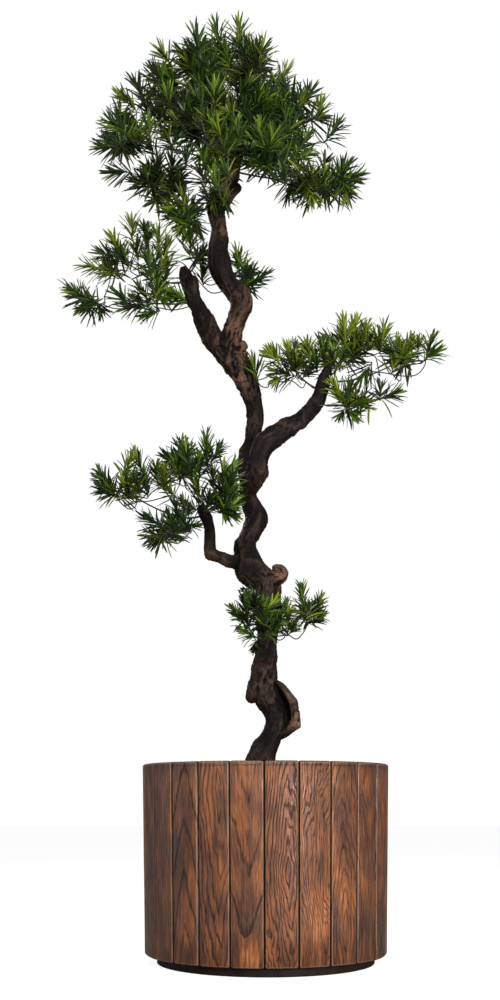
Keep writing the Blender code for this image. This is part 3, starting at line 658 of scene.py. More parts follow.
def stained_oak(settings):
    """Open-grained oak, wire brushed and stained walnut brown under a satin lacquer.

    The brush has worn the soft early wood into dark grooves that nest in arches. Between them the late wood
    is smooth and orange brown, with short dark pores. The lacquer gives a soft sheen that the grooves break.
    """
    skin = Skin("stained_oak", "#7a4626", {"Roughness": 0.42, "IOR": 1.5, "Specular IOR Level": 0.40})
    maths, noise, ranged, mixed = skin.maths, skin.noise, skin.ranged, skin.mixed
    board = skin.attribute("board", "Vector")
    side, level, _ = skin.parts(board)
    arch_side, arch_level, slope = skin.parts(skin.attribute("arch", "Vector"))
    spacing, waves, pale = skin.parts(skin.attribute("figure", "Vector"))
    bold = skin.attribute("bold")
    edge = skin.attribute("edge")

    def stretched(across, up):
        return skin.scaled(board, (across, up, 1.0))

    # Waves bend the arches, in lumps 60 mm across and 200 mm long with smaller ones in them
    wave = maths("SUBTRACT", noise(stretched(16.0, 5.0), 1.5), 0.5)
    ripple = maths("SUBTRACT", noise(stretched(70.0, 26.0)), 0.5)
    shift = maths("MULTIPLY", maths("MULTIPLY_ADD", wave, 0.060, maths("MULTIPLY", ripple, 0.011)), waves)
    across = maths("ABSOLUTE", maths("ADD", maths("SUBTRACT", side, arch_side), shift))
    up = maths("ABSOLUTE", maths("MULTIPLY_ADD", maths("SUBTRACT", level, arch_level), slope,
                                 maths("MULTIPLY", ripple, 0.008)))
    # A power of 1 would make the arches pointed, and one of 2 would make them round
    power = 1.25
    reach = maths("POWER", maths("ADD", maths("POWER", across, power), maths("POWER", up, power)), 1 / power)
    ring = maths("ADD", maths("DIVIDE", reach, spacing), maths("MULTIPLY", wave, waves))

    # A year's wood ends in a groove with one sharp side. Wet years cut broad grooves and dry ones faint
    groove_width = maths("MINIMUM", maths("MULTIPLY", spacing, 0.38), 0.0052)
    to_groove = maths("MULTIPLY", maths("SUBTRACT", 1.0, maths("FRACT", ring)), spacing)
    groove = ranged(maths("DIVIDE", to_groove, groove_width), 1.0, 0.45)
    years = skin.node("ShaderNodeCombineXYZ",
                      {0: maths("MULTIPLY", ring, 0.55), 1: maths("MULTIPLY", pale, 50.0)})[0]
    wet = ranged(noise(years, 1.0), 0.36, 0.52, 0.45, 1.0)
    worn = ranged(noise(stretched(110.0, 36.0)), 0.30, 0.50, 0.55, 1.0)
    frayed = ranged(noise(stretched(430.0, 70.0), 1.0), 0.30, 0.50, 0.60, 1.0)
    lines = maths("MULTIPLY", maths("MULTIPLY", groove, wet), maths("MULTIPLY", worn, frayed))
    # Between bold grooves that lie far apart, faint ones run 6 mm apart
    faint = ranged(maths("FRACT", maths("MULTIPLY_ADD", reach, 1 / 0.006, wave)), 0.55, 1.0)
    faint = maths("MULTIPLY", maths("MULTIPLY", faint, worn), ranged(spacing, 0.009, 0.013, 0.0, 0.28))
    lines = maths("MULTIPLY", maths("MAXIMUM", lines, faint), bold)
    # Pores are dashes 0.9 mm wide and 14 mm long, drawn twice their real width so that they show
    pore = ranged(noise(stretched(620.0, 42.0), 2.5, 0.6), 0.48, 0.64)
    pored = maths("MULTIPLY_ADD", pore, maths("MULTIPLY_ADD", groove, 0.30, 0.34), lines)
    dark = maths("MINIMUM", pored, 1.0)

    # Stain lies lighter and more orange in the late wood, cloudy over a hand's breadth and in fine streaks
    cloud = maths("SUBTRACT", noise(stretched(26.0, 11.0), 3.0), 0.5)
    streak = maths("SUBTRACT", noise(stretched(330.0, 14.0)), 0.5)
    tone = maths("ADD", pale, maths("MULTIPLY_ADD", cloud, 1.05, maths("MULTIPLY", streak, 0.75)))
    colour = skin.ramp(tone, (0.10, opaque("#351e17")), (0.35, opaque("#5c3621")),
                       (0.60, (*settings.stain, 1.0)), (0.90, opaque("#c28250")))
    colour = mixed(maths("MULTIPLY", dark, 0.90), colour, opaque("#170d0a"))
    # A dark line, broken here and there, is painted shade where the lip of the rim is rounded over; the staves
    # themselves are not rounded there
    from_lip = maths("ABSOLUTE", maths("SUBTRACT", level, STAVE_HEIGHT - LIP_DEPTH))
    lip = ranged(from_lip, LIP_SHADE_LINE, LIP_SHADE_LINE / 3)
    colour = mixed(maths("MULTIPLY", maths("MULTIPLY", lip, worn), 0.75), colour, opaque("#1b110e"))
    # The arris of each joint is painted pale, partly as wear and partly as a painted highlight, and the colour
    # is darker deeper in the chamfer
    wear_and_highlight = skin.ramp(edge, (0.0, grey(0.0)), (0.10, grey(0.60)), (0.22, grey(0.30)), (0.30, grey(0.0)))
    colour = mixed(wear_and_highlight, colour, opaque("#a07a5a"))
    colour = mixed(ranged(edge, 0.24, 0.44, 0.0, 0.95), colour, opaque("#150c09"))
    skin.feed({
        "Base Color": colour,
        "Roughness": ranged(dark, 0.0, 1.0, 0.38, 0.80),
        "Normal": skin.bump(maths("SUBTRACT", 1.0, dark), 0.0012, 1.0),
    })
    return skin.material


class PlanterSettings(bpy.types.PropertyGroup):
    chamfer: FloatProperty(name="Joint chamfer", description="How far each stave's outer edges are cut back",
                           default=0.0036, min=0.0, max=0.01, subtype="DISTANCE", unit="LENGTH")
    stain: FloatVectorProperty(name="Stain", description="Colour of the smooth wood between the grooves",
                               default=linear("#8c522c"), min=0.0, max=1.0, subtype="COLOR")
    crumbs: IntProperty(name="Soil crumbs", description="Loose crumbs and chips of bark on the soil",
                        default=420, min=0, max=4000)


def planter_radius(up):
    """The planter's radius at a share of the staves' height."""
    return FOOT_RADIUS + (RIM_RADIUS - FOOT_RADIUS) * up


def stave_pattern():
    """A unit block, cut five times across its height and seven times across its width so that it can bend."""
    deselect_all()
    bpy.ops.mesh.primitive_cube_add(size=1)
    bpy.ops.object.mode_set(mode="EDIT")
    bpy.ops.mesh.select_mode(type="EDGE")
    for way, cuts in ((2, 5), (1, 7)):
        bpy.ops.mesh.select_all(action="DESELECT")
        shape = bmesh.from_edit_mesh(bpy.context.object.data)
        for edge in shape.edges:
            edge.select_set(abs(edge.verts[1].co[way] - edge.verts[0].co[way]) > 0.01)
        bpy.ops.mesh.subdivide(number_cuts=cuts)
    bpy.ops.object.mode_set(mode="OBJECT")
    return name_active("stave_pattern")


def stave_points(unit, proud):
    """The unit block tapered to the planter's shape and bent to its round."""
    deep, side, up = (unit + 0.5).T
    side = 2 * side - 1
    radius = planter_radius(up)
    flat = radius * math.cos(HALF_STAVE)
    outer = flat + (radius - flat) * (1 - side ** 2) + proud
    inner = (radius - STAVE_THICKNESS) * math.cos(HALF_STAVE)
    x = inner + (outer - inner) * deep
    y = side * (x * math.tan(HALF_STAVE) - STAVE_GAP)
    return np.column_stack((x, y, STAVE_FOOT + up * STAVE_HEIGHT))


def mark_board(mesh, index, proud, chamfer):
    """Stores what the oak's material reads: the place on the board, its figure, and its worn and highlit edges.
    """
    x, y, z = points_of(mesh).T
    count = len(x)
    level = z - STAVE_FOOT
    side = y / (x * math.tan(HALF_STAVE))
    grain = board_grain(index)
    # Each board is cut from its own place in the tree, so its waves, clouds and pores are its own
    store(mesh, "board", np.column_stack((y, level, np.full(count, index * BOARD_STRIDE))))
    store(mesh, "arch", np.tile((grain.across, grain.up, grain.slope), (count, 1)))
    store(mesh, "figure", np.tile((grain.spacing, grain.waves, grain.tone), (count, 1)))
    store(mesh, "bold", np.full(count, grain.bold))
    # The edge is how far in from the board's round face a point lies, in chamfers
    face = planter_radius(level / STAVE_HEIGHT) * (1 - (1 - math.cos(HALF_STAVE)) * side ** 2) + proud
    store(mesh, "edge", np.clip((face - x) / chamfer - 0.05, 0, 1))


class PODOCARPUS_OT_staves(bpy.types.Operator):
    """Bends a block into each tapered oak stave, with chamfered edges and a figure of its own"""
    bl_idname = "podocarpus.staves"
    bl_label = "Staves"

    def execute(self, context):
        settings = context.scene.podocarpus_planter
        oak = stained_oak(settings)
        pattern = stave_pattern()
        unit = points_of(pattern.data)
        for index in range(STAVES):
            proud = random.Random(f"stave {index}").uniform(-STAVE_PROUD, STAVE_PROUD)
            select_only(pattern)
            bpy.ops.object.duplicate()
            stave = name_active(f"oak_stave_{index + 1:02d}")
            set_points(stave.data, stave_points(unit, proud))
            apply_modifier(stave, "BEVEL", width=settings.chamfer, segments=3, profile=0.36,
                           limit_method="ANGLE", angle_limit=SHARP_CORNER)
            mark_board(stave.data, index, proud, settings.chamfer)
            stave.rotation_euler.z = math.radians(FIRST_JOINT_DEG) + math.tau * (index + 0.5) / STAVES
            select_only(stave)
            bpy.ops.object.transform_apply(location=True, rotation=True, scale=True)
            bpy.ops.object.shade_smooth_by_angle(angle=math.radians(30))
            stave.data.materials.append(oak)
            settle(stave, f"stained_oak_{index * 2 % 3 + 1}", f"stave_{index + 1:02d}")
        bpy.data.objects.remove(pattern)
        return {"FINISHED"}


def black_paint():
    """Softwood under matt black paint, faintly mottled by the brush."""
    skin = Skin("matt_black_paint", "#1b100b", {"Roughness": 0.7, "IOR": 1.5, "Specular IOR Level": 0.25})
    mottle = skin.noise(skin.place(), 4.0, scale=60.0)
    skin.feed({
        "Base Color": skin.ramp(mottle, (0.35, opaque("#150c08")), (0.75, opaque("#2a1a12"))),
        "Normal": skin.bump(mottle, 0.0005, 0.5),
    })
    return skin.material


def moulded_plastic():
    """Moulded polyethylene, matt and faintly grained, as nursery tubs are."""
    skin = Skin("black_polyethylene", "#1d1917", {"Roughness": 0.55, "IOR": 1.5})
    skin.feed({"Normal": skin.bump(skin.noise(skin.place(), scale=900.0), 0.0003, 0.4)})
    return skin.material


class PODOCARPUS_OT_plinth(bpy.types.Operator):
    """Turns the recessed plinth with its eased edges, and finishes the tub that the staves are fixed to"""
    bl_idname = "podocarpus.plinth"
    bl_label = "Plinth and tub"

    def execute(self, context):
        deselect_all()
        bpy.ops.mesh.primitive_cylinder_add(vertices=128, radius=PLINTH_HIGH.x, depth=PLINTH_HIGH.z,
                                            location=(0, 0, PLINTH_HIGH.z / 2))
        plinth = name_active("black_plinth")
        bpy.ops.object.mode_set(mode="EDIT")
        shape = bmesh.from_edit_mesh(plinth.data)
        for face in shape.faces:
            face.select_set(abs(face.normal.z) > 0.9)
        bpy.ops.mesh.inset(thickness=PLINTH_LIP)
        shape = bmesh.from_edit_mesh(plinth.data)
        lowest = min(vertex.co.z for vertex in shape.verts)
        for face in shape.faces:
            face.select_set(face.select and face.calc_center_median().z < lowest + 0.001)
        bpy.ops.transform.translate(value=(0, 0, PLINTH_HOLLOW))
        bpy.ops.object.mode_set(mode="OBJECT")
        bpy.ops.object.transform_apply(location=True, rotation=True, scale=True)
        apply_modifier(plinth, "BEVEL", width=PLINTH_EASE, segments=3, limit_method="ANGLE",
                       angle_limit=SHARP_CORNER)
        bpy.ops.object.shade_smooth_by_angle(angle=math.radians(35))
        plinth.data.materials.append(black_paint())
        settle(plinth, "black_plinth", "plinth")

        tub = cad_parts["tub"]
        tub.data.materials.clear()
        tub.data.materials.append(moulded_plastic())
        return {"FINISHED"}


def potting_soil():
    """Peat and composted bark: almost black where damp, with brown fibres and no shine."""
    skin = Skin("potting_soil", "#2b1d14", {"Roughness": 0.95, "IOR": 1.4})
    crumbs = skin.noise(skin.place(), 6.0, 0.65, scale=160.0)
    colour = skin.ramp(crumbs, (0.35, opaque("#150e0a")), (0.55, opaque("#2d1f16")),
                       (0.75, opaque("#4c3625")))
    skin.feed({"Base Color": colour, "Normal": skin.bump(crumbs, 0.002, 0.8)})
    return skin.material


def uneven_bed(radius):
    """A round bed of soil, uneven on top and closed below."""
    top = SOIL_HIGH.z
    deselect_all()
    bpy.ops.mesh.primitive_circle_add(vertices=120, radius=radius, fill_type="NOTHING", location=(0, 0, top))
    soil = name_active("soil_bed")
    bpy.ops.object.mode_set(mode="EDIT")
    for ring in range(SOIL_RINGS, 1, -1):
        bpy.ops.mesh.extrude_edges_move()
        share = (ring - 1) / ring
        bpy.ops.transform.resize(value=(share, share, 1), center_override=(0, 0, top))
    bpy.ops.mesh.merge(type="CENTER")
    bpy.ops.object.mode_set(mode="OBJECT")
    bpy.ops.object.transform_apply(location=True, rotation=True, scale=True)
    points = points_of(soil.data)
    distance = np.hypot(points[:, 0], points[:, 1]) / radius
    # Clods 36 mm wide, lumps 11 mm wide and grains 5 mm wide
    relief = 0.0045 * lumps(points * 28, 1) + 0.0030 * lumps(points * 90, 2) + 0.0016 * lumps(points * 210, 3)
    # It was firmed up round the trunk, and has sunk a little at the wall
    relief += 0.006 * np.exp(-((distance / 0.35) ** 2)) - 0.004 * distance ** 8
    points[:, 2] += np.where(distance > 0.999, -0.006, relief)
    set_points(soil.data, points)
    select_only(soil)
    bpy.ops.object.mode_set(mode="EDIT")
    bpy.ops.mesh.select_all(action="DESELECT")
    bpy.ops.mesh.select_mode(type="EDGE")
    bpy.ops.mesh.select_non_manifold()
    bpy.ops.mesh.extrude_edges_move(TRANSFORM_OT_translate={"value": (0, 0, -SOIL_SIDE)})
    bpy.ops.mesh.fill()
    bpy.ops.mesh.select_all(action="SELECT")
    bpy.ops.mesh.normals_make_consistent(inside=False)
    bpy.ops.object.mode_set(mode="OBJECT")
    bpy.ops.object.shade_smooth_by_angle(angle=math.radians(50))
    return soil


def strewn_crumbs(count, radius, soil):
    """Lumpy crumbs and flat chips, each turned and stretched its own way, lying on the soil."""
    ground = BVHTree.FromObject(soil, bpy.context.evaluated_depsgraph_get())
    bpy.ops.mesh.primitive_ico_sphere_add(subdivisions=1, radius=1)
    ball = bpy.context.object
    unit, faces = points_of(ball.data), [tuple(face.vertices) for face in ball.data.polygons]
    bpy.data.objects.remove(ball)
    chance = random.Random("crumbs")
    places, corners = [], []
    for _ in range(count):
        angle, out = chance.uniform(0, math.tau), radius * 0.96 * math.sqrt(chance.random())
        x, y = out * math.cos(angle), out * math.sin(angle)
        spot = ground.ray_cast(Vector((x, y, 1)), Vector((0, 0, -1)))[0]
        size = chance.uniform(0.0015, 0.0050)
        stretch = np.array((chance.uniform(0.7, 2.2), chance.uniform(0.6, 1.2), chance.uniform(0.4, 0.9)))
        turn, lump = chance.uniform(0, math.tau), unit * stretch
        lump = lump * (1 + 0.25 * lumps(unit * 1.7 + chance.uniform(0, 50), 5))[:, None] * size
        sine, cosine = math.sin(turn), math.cos(turn)
        spin = np.array(((cosine, -sine, 0), (sine, cosine, 0), (0, 0, 1)))
        first = len(places) * len(unit)
        places.append(lump @ spin.T + np.array((x, y, spot.z + 0.2 * size)))
        corners.extend(tuple(first + corner for corner in face) for face in faces)
    return joined_mesh("soil_crumbs", np.concatenate(places), corners)


class PODOCARPUS_OT_soil(bpy.types.Operator):
    """Fills the planter with uneven soil, and strews loose crumbs and chips of bark on it"""
    bl_idname = "podocarpus.soil"
    bl_label = "Soil"

    def execute(self, context):
        settings = context.scene.podocarpus_planter
        radius = SOIL_HIGH.x - SOIL_CLEARANCE
        soil = uneven_bed(radius)
        crumbs = strewn_crumbs(settings.crumbs, radius, soil)
        earth = potting_soil()
        soil.data.materials.append(earth)
        crumbs.data.materials.append(earth)
        settle(soil, "potting_soil", "soil")
        settle(crumbs, "potting_soil")
        return {"FINISHED"}


# Limbs

# How a limb is rounded off past its ends: how far out, and how wide there, as shares of its radius
ROUNDED_END = ((0.35, 0.90), (0.62, 0.72), (0.82, 0.45), (0.90, 0.15))
# How fast the fibres twist round the limbs, in radians for each metre
TWIST = 9.0
# How far apart two limbs lie in the noise that works them
LIMB_STRIDE = 3.1
# The mouth of the burl, which is painted darkest as shade, and its radius
BURL_MOUTH, MOUTH_RADIUS = (0.036, 0.000, 0.500), 0.022
# Points whose nearest limb is looked for at one time
BATCH = 4000
# How often the surface is smoothed to find its hollows
SMOOTHINGS = 12
# The radius from which a limb is worked to the full depth
FULL_LIMB = 0.020


def smooth_path(stations, rings_each):
    """Rows of place and radius along a smooth curve through the stations."""
    knots = np.array([(station.x, station.y, station.height, station.radius) for station in stations])
    padded = np.vstack((2 * knots[0] - knots[1], knots, 2 * knots[-1] - knots[-2]))
    path = []
    for before, here, there, after in zip(padded, padded[1:], padded[2:], padded[3:]):
        for step in range(rings_each):
            t = step / rings_each
            path.append(0.5 * (
                2 * here + (there - before) * t
                + (2 * before - 5 * here + 4 * there - after) * t ** 2
                + (3 * here - before - 3 * there + after) * t ** 3
            ))
    path.append(knots[-1])
    return np.array(path)


def round_ends(path):
    """The path run on a little past both ends, getting thinner, so that its tube closes round."""
    rows = list(path)
    for at_end in (True, False):
        end, inside = (rows[-1], rows[-2]) if at_end else (rows[0], rows[1])
        away = (end[:3] - inside[:3]) / np.linalg.norm(end[:3] - inside[:3])
        added = [np.append(end[:3] + away * end[3] * along, end[3] * share) for along, share in ROUNDED_END]
        rows = rows + added if at_end else added[::-1] + rows
    return np.array(rows)


def limb_tube(name, stations):
    """A curve with a radius at each point, made a closed mesh."""
    path = round_ends(smooth_path(stations, 6))
    deselect_all()
    bpy.ops.curve.primitive_nurbs_path_add()
    limb = name_active(name)
    curve = limb.data
    curve.splines.clear()
    spline = curve.splines.new("POLY")
    spline.points.add(len(path) - 1)
    for point, row in zip(spline.points, path):
        point.co = (*row[:3], 1)
        point.radius = row[3]
    curve.dimensions = "3D"
    curve.twist_mode = "MINIMUM"
    curve.bevel_depth = 1
    curve.bevel_resolution = 8
    curve.use_fill_caps = True
    limb.location = (0, 0, 0)
    bpy.ops.object.convert(target="MESH")
    return limb


def nearest_lines(points):
    """For each point, how far along its limb it lies, the angle round it, the limb's radius and number."""
    # A row has a place, the radius, the way ahead, a side that turns with it, the run so far and the number
    rows = []
    for number, stations in enumerate(LIMBS.values()):
        path = smooth_path(stations, 10)
        places, radii = path[:, :3], path[:, 3]
        ahead = np.gradient(places, axis=0)
        ahead /= np.linalg.norm(ahead, axis=1)[:, None]
        run = np.concatenate(([0], np.cumsum(np.linalg.norm(np.diff(places, axis=0), axis=1))))
        side = np.cross(ahead[0], (0, 1, 0))
        for index in range(len(path)):
            side = side - side @ ahead[index] * ahead[index]
            side /= np.linalg.norm(side)
            rows.append((*places[index], radii[index], *ahead[index], *side, run[index], number))
    rows = np.array(rows)
    found = np.empty(len(points), int)
    for start in range(0, len(points), BATCH):
        part = points[start:start + BATCH]
        away = np.linalg.norm(part[:, None] - rows[None, :, :3], axis=2)
        found[start:start + BATCH] = np.argmin(away - rows[:, 3], axis=1)
    row = rows[found]
    out = points - row[:, :3]
    ahead, side = row[:, 4:7], row[:, 7:10]
    beside = np.cross(ahead, side)
    angle = np.arctan2((out * beside).sum(1), (out * side).sum(1))
    run = row[:, 10] + (out * ahead).sum(1)
    return run, angle, row[:, 3], row[:, 11]


def hollowness(mesh, points, normals):
    """How far each point lies below the surface as it would be if it were smoothed out some 6 mm round it."""
    ends = np.empty(len(mesh.edges) * 2, np.int32)
    mesh.edges.foreach_get("vertices", ends)
    first, second = ends.reshape(-1, 2).T
    neighbours = np.bincount(ends, minlength=len(points))
    smooth = points
    for _ in range(SMOOTHINGS):
        smooth = np.column_stack([
            (np.bincount(first, along[second], len(points)) + np.bincount(second, along[first], len(points)))
            / neighbours for along in smooth.T])
    return ((smooth - points) * normals).sum(1)


def nearness(points, place, reach):
    """How near each point is to a place: 1 at it, 0.37 at its reach and nothing at three times its reach."""
    return np.exp(-((np.linalg.norm(points - np.array(place), axis=1) / reach) ** 2))


def wood_relief(points, straight):
    """How high the worked surface stands at each point. Its place along the fibres is given as straight."""
    sinews = 1 - np.abs(lumps(straight * (75, 75, 13), 11)) * 2
    cords = 1 - np.abs(lumps(straight * (170, 170, 30), 12)) * 2
    fibres = lumps(straight * (380, 380, 60), 13)
    facets = 1 - np.abs(lumps(points * (30, 30, 20), 14)) * 2.4
    crust = np.clip(4 * lumps(points * (95, 95, 70), 15) - 0.4, 0, 1)
    crust *= np.clip(3 * lumps(points * 14, 16) + 0.6, 0, 1)
    pits = lumps(points * 210, 17)
    return 0.40 * sinews + 0.30 * cords + 0.20 * fibres + 1.1 * facets + 0.70 * crust + 0.30 * pits


def weathered_wood():
    """Weathered hardwood, stripped of its bark and stained almost black.

    Long fibres twist up the limbs. The furrows between them hold the dark stain, and hollows, the burl and its
    mouth are painted darker as shade. The ridges, knots and burls are worn to a warmer brown with a dull
    polish, partly a painted highlight.
    """
    skin = Skin("weathered_wood", "#35251f", {"Roughness": 0.6, "IOR": 1.5, "Specular IOR Level": 0.14})
    ranged = skin.ranged
    straight = skin.attribute("straight", "Vector")

    def fibrous(across, along, detail, roughness=0.5):
        return skin.noise(skin.scaled(straight, (across, across, along)), detail, roughness)

    # Fibres 1.5 mm wide and 40 mm long, and blotches of stain as wide as a thumb
    fibres = fibrous(330.0, 24.0, 4.0, 0.6)
    blotches = fibrous(40.0, 12.0, 3.0, 0.6)
    # The colour follows this height, which takes painted shade in the hollows, the burl and its mouth
    height = skin.maths("MULTIPLY_ADD", fibres, 0.55, skin.attribute("crest_and_shade"))
    colour = skin.ramp(height, (0.30, opaque("#040202")), (0.55, opaque("#090504")),
                       (0.80, opaque("#120b08")), (1.0, opaque("#2a1c15")))
    colour = skin.mixed(ranged(blotches, 0.46, 0.70, 0.0, 0.55), colour, opaque("#180b08"))
    # Ridges near those spots are painted a pale greyish brown, partly as wear and partly as a painted highlight
    wear_and_highlight = skin.maths("MULTIPLY", skin.attribute("warmth_and_highlight"), ranged(height, 0.50, 1.0))
    # Dark stain is left in flecks 6 mm wide in the wear and painted highlight
    kept = ranged(fibrous(170.0, 75.0, 2.0), 0.38, 0.58, 0.35, 1.0)
    skin.feed({
        "Base Color": skin.mixed(skin.maths("MULTIPLY", wear_and_highlight, kept), colour, opaque("#88654f")),
        "Roughness": ranged(height, 0.4, 1.0, 0.82, 0.52),
        "Normal": skin.bump(fibres, 0.0012, 0.7),
    })
    return skin.material


# Places where the wood is painted pale and warm, partly as wear and partly as a painted highlight: the middle
# of each, its radius and how strongly
WORN_AND_HIGHLIT_SPOTS = (
    ((0.060, -0.020, 0.490), 0.030, 0.95),
    ((0.030, -0.060, 0.792), 0.032, 1.0),
    ((-0.055, -0.010, 1.300), 0.055, 0.6),
    ((-0.062, -0.030, 1.345), 0.050, 0.6),
    ((0.000, -0.060, 0.778), 0.040, 0.35),
    ((-0.115, -0.060, 0.826), 0.050, 0.25),
    ((-0.036, -0.050, 1.420), 0.060, 0.4),
    ((-0.045, 0.010, 1.255), 0.050, 0.5),
    ((-0.070, -0.020, 1.700), 0.060, 0.8),
    ((-0.104, -0.030, 1.600), 0.055, 0.5),
    ((0.044, -0.020, 0.540), 0.025, 0.6),
    ((-0.005, -0.020, 0.575), 0.030, 0.35),
)
# The burl, the knob and the fork are also the most deeply worked
DEEP_SPOTS = WORN_AND_HIGHLIT_SPOTS[:3]


class BarkSettings(bpy.types.PropertyGroup):
    voxel: FloatProperty(name="Detail", description="Size of the smallest relief on the wood", default=0.0018,
                         min=0.001, max=0.01, subtype="DISTANCE", unit="LENGTH")
    ridges: FloatProperty(name="Ridges", description="Height of the ridges along the wood", default=0.0025,
                          min=0.0, max=0.01, subtype="DISTANCE", unit="LENGTH")
    flutes: FloatProperty(name="Flutes", description="Depth of the broad flutes, as a share of the radius",
                          default=0.07, min=0.0, max=0.3, subtype="FACTOR")


class PODOCARPUS_OT_limbs(bpy.types.Operator):
    """Sweeps the trunk, its burls and the boughs, fuses them, and works fluted, twisted old wood into them"""
    bl_idname = "podocarpus.limbs"
    bl_label = "Trunk and boughs"

    def execute(self, context):
        settings = context.scene.podocarpus_bark
        tubes = [limb_tube(name, stations) for name, stations in LIMBS.items()]
        deselect_all()
        for tube in tubes:
            tube.select_set(True)
        context.view_layer.objects.active = tubes[0]
        bpy.ops.object.join()
        wood = name_active("old_wood")
        apply_modifier(wood, "REMESH", mode="VOXEL", voxel_size=settings.voxel)
        apply_modifier(wood, "SMOOTH", factor=0.5, iterations=8)
        points = points_of(wood.data)
        run, angle, radius, limb = nearest_lines(points)
        normals = np.empty(len(points) * 3, np.float32)
        wood.data.vertex_normals.foreach_get("vector", normals)
        normals = normals.reshape(-1, 3).astype(float)

        twist = angle - TWIST * run
        straight = np.column_stack((radius * np.cos(twist), radius * np.sin(twist), run + limb * LIMB_STRIDE))
        relief = wood_relief(points, straight)
        depth = np.clip(radius / FULL_LIMB, 0.35, 1.0)
        for place, reach, strength in DEEP_SPOTS:
            depth += 1.3 * strength * nearness(points, place, reach)
        # Three flutes twist round a limb, and the ridges are cut as far into it as they stand out
        flute = settings.flutes * radius * np.cos(3 * angle - TWIST * run)
        points += normals * (flute + settings.ridges * depth * (relief - 0.75))[:, None]
        set_points(wood.data, points)
        store(wood.data, "straight", straight)
        # The burl's own limb, its mouth and every hollow get painted shade
        dark = 0.30 * (limb == list(LIMBS).index("burl"))
        dark += 0.40 * nearness(points, BURL_MOUTH, MOUTH_RADIUS)
        dark += 0.40 * np.clip((hollowness(wood.data, points, normals) + 0.0002) / 0.0012, 0, 1)
        store(wood.data, "crest_and_shade", np.clip(0.34 + 0.22 * relief - dark, 0, 1))
        warmth_and_highlight = [strength * nearness(points, place, reach) ** 1.5 for place, reach, strength in WORN_AND_HIGHLIT_SPOTS]
        store(wood.data, "warmth_and_highlight", np.max(warmth_and_highlight, axis=0))
        wood.data.calc_loop_triangles()
        apply_modifier(wood, "DECIMATE", ratio=min(1.0, WOOD_TRIANGLES / len(wood.data.loop_triangles)))
        bpy.ops.object.shade_smooth()
        wood.data.materials.append(weathered_wood())
        settle(wood, "dark_bark", *LIMB_NODES)
        return {"FINISHED"}


# Foliage

# Each tone's colour on a leaf's upper and lower side, and its slot in the record, from the darkest
TONES = {
    "deep": ("#0d1e03", "#192a09", "foliage_deep"),
    "mid": ("#213a03", "#2f460c", "foliage_mid"),
    "bright": ("#435c03", "#50680f", "foliage_bright"),
    "young": ("#687a05", "#73801c", "foliage_bright"),
}
TONE_ORDER = tuple(TONES)
# How many tones a leaf may stand off its spray's tone, with the chances of each
TONE_STEPS, STEP_CHANCES = (-2, -1, 0, 1), (0.9, 2.9, 3.8, 1.5)
# The chances of each tone for a spray that grows by rule, and for a shoot straight from the trunk
RULE_CHANCES, SHOOT_CHANCES = (4, 6, 3, 0.5), (5, 5, 2, 0)

# A leaf, as shares of its length and half width, from its stalk to its tip
LEAF_STATIONS = ((0.0, 0.22), (0.09, 0.58), (0.30, 0.97), (0.62, 0.98), (0.87, 0.62))
# How far its edges are cupped, as a share of its half width, and the share of its thickness above its middle
LEAF_CUP, LEAF_CREST = 0.34, 0.3
# How far leaves lean off their shoot at its foot and at its tip, and how much that strays, in degrees
LEAN_LOW, LEAN_HIGH, LEAN_STRAY = 60, 16, 12
# The length from which a spray has leaves of full length, and the length of wire that carries all its leaves
FULL_SPRAY, FULL_WIRE = 0.125, 0.045
FEWEST_LEAVES = 9

# Radii at the start and at the end of a mass's stem, a wire off it, a spray's own wire and a bare loop
STEM_RADII = (0.0023, 0.0014)
WIRE_RADII = (0.0014, 0.0011)
SPRAY_RADII = (0.0013, 0.0007)
LOOP_RADII = (0.0014, 0.0012)
# How far a mass's hub lies below its middle, as a share of its reach, and back towards its limb
HUB_DROP, HUB_BACK = 0.30, 0.12
# How deep a stem is set in the bark
STEM_DEPTH = 0.003
# The shortest and the longest spray that grows by rule, and the lowest heading that it grows in
RULE_LENGTHS, LOWEST_HEADING = (0.060, 0.095), -0.80
# Where along a spray its outline is judged
OUTLINE_SHARES = (0.3, 0.8)
# How far a spray's tip leans to the front, and how far that strays
TIP_LEAN, TIP_STRAY = 0.030, 0.012


def joined_mesh(name, points, faces):
    """A new piece from the points and faces of many small parts."""
    mesh = bpy.data.meshes.new(name)
    mesh.from_pydata(points.tolist(), [], faces)
    mesh.update()
    made = bpy.data.objects.new(name, mesh)
    bpy.context.scene.collection.objects.link(made)
    return made


def leaf_faces():
    """The faces of one leaf, and for each whether it is on the upper side."""
    faces, upper = [(3, 2, 1, 0)], [False]
    for level in range(len(LEAF_STATIONS) - 1):
        for side in range(4):
            low, after = 4 * level, (side + 1) % 4
            faces.append((low + side, low + after, low + 4 + after, low + 4 + side))
            upper.append(side in (0, 1))
    low, tip = 4 * len(LEAF_STATIONS) - 4, 4 * len(LEAF_STATIONS)
    for side in range(4):
        faces.append((low + side, low + (side + 1) % 4, tip))
        upper.append(side in (0, 1))
    return faces, upper


def leaf_points(root, along, face, length, width, thickness, bend):
    """The corners of a keeled leaf with its edges cupped, which arches by bend over its length."""
    across = face.cross(along)
    rows = []
    for share, wide in LEAF_STATIONS:
        middle = root + along * (length * share) + bend * (length * share * share)
        half = across * (width * wide / 2)
        cup = face * (LEAF_CUP * width * wide / 2)
        rows += [middle + half + cup, middle + face * thickness * LEAF_CREST, middle - half + cup,
                 middle - face * thickness * (1 - LEAF_CREST)]
    rows.append(root + along * length + bend * length)
    return [tuple(row) for row in rows]


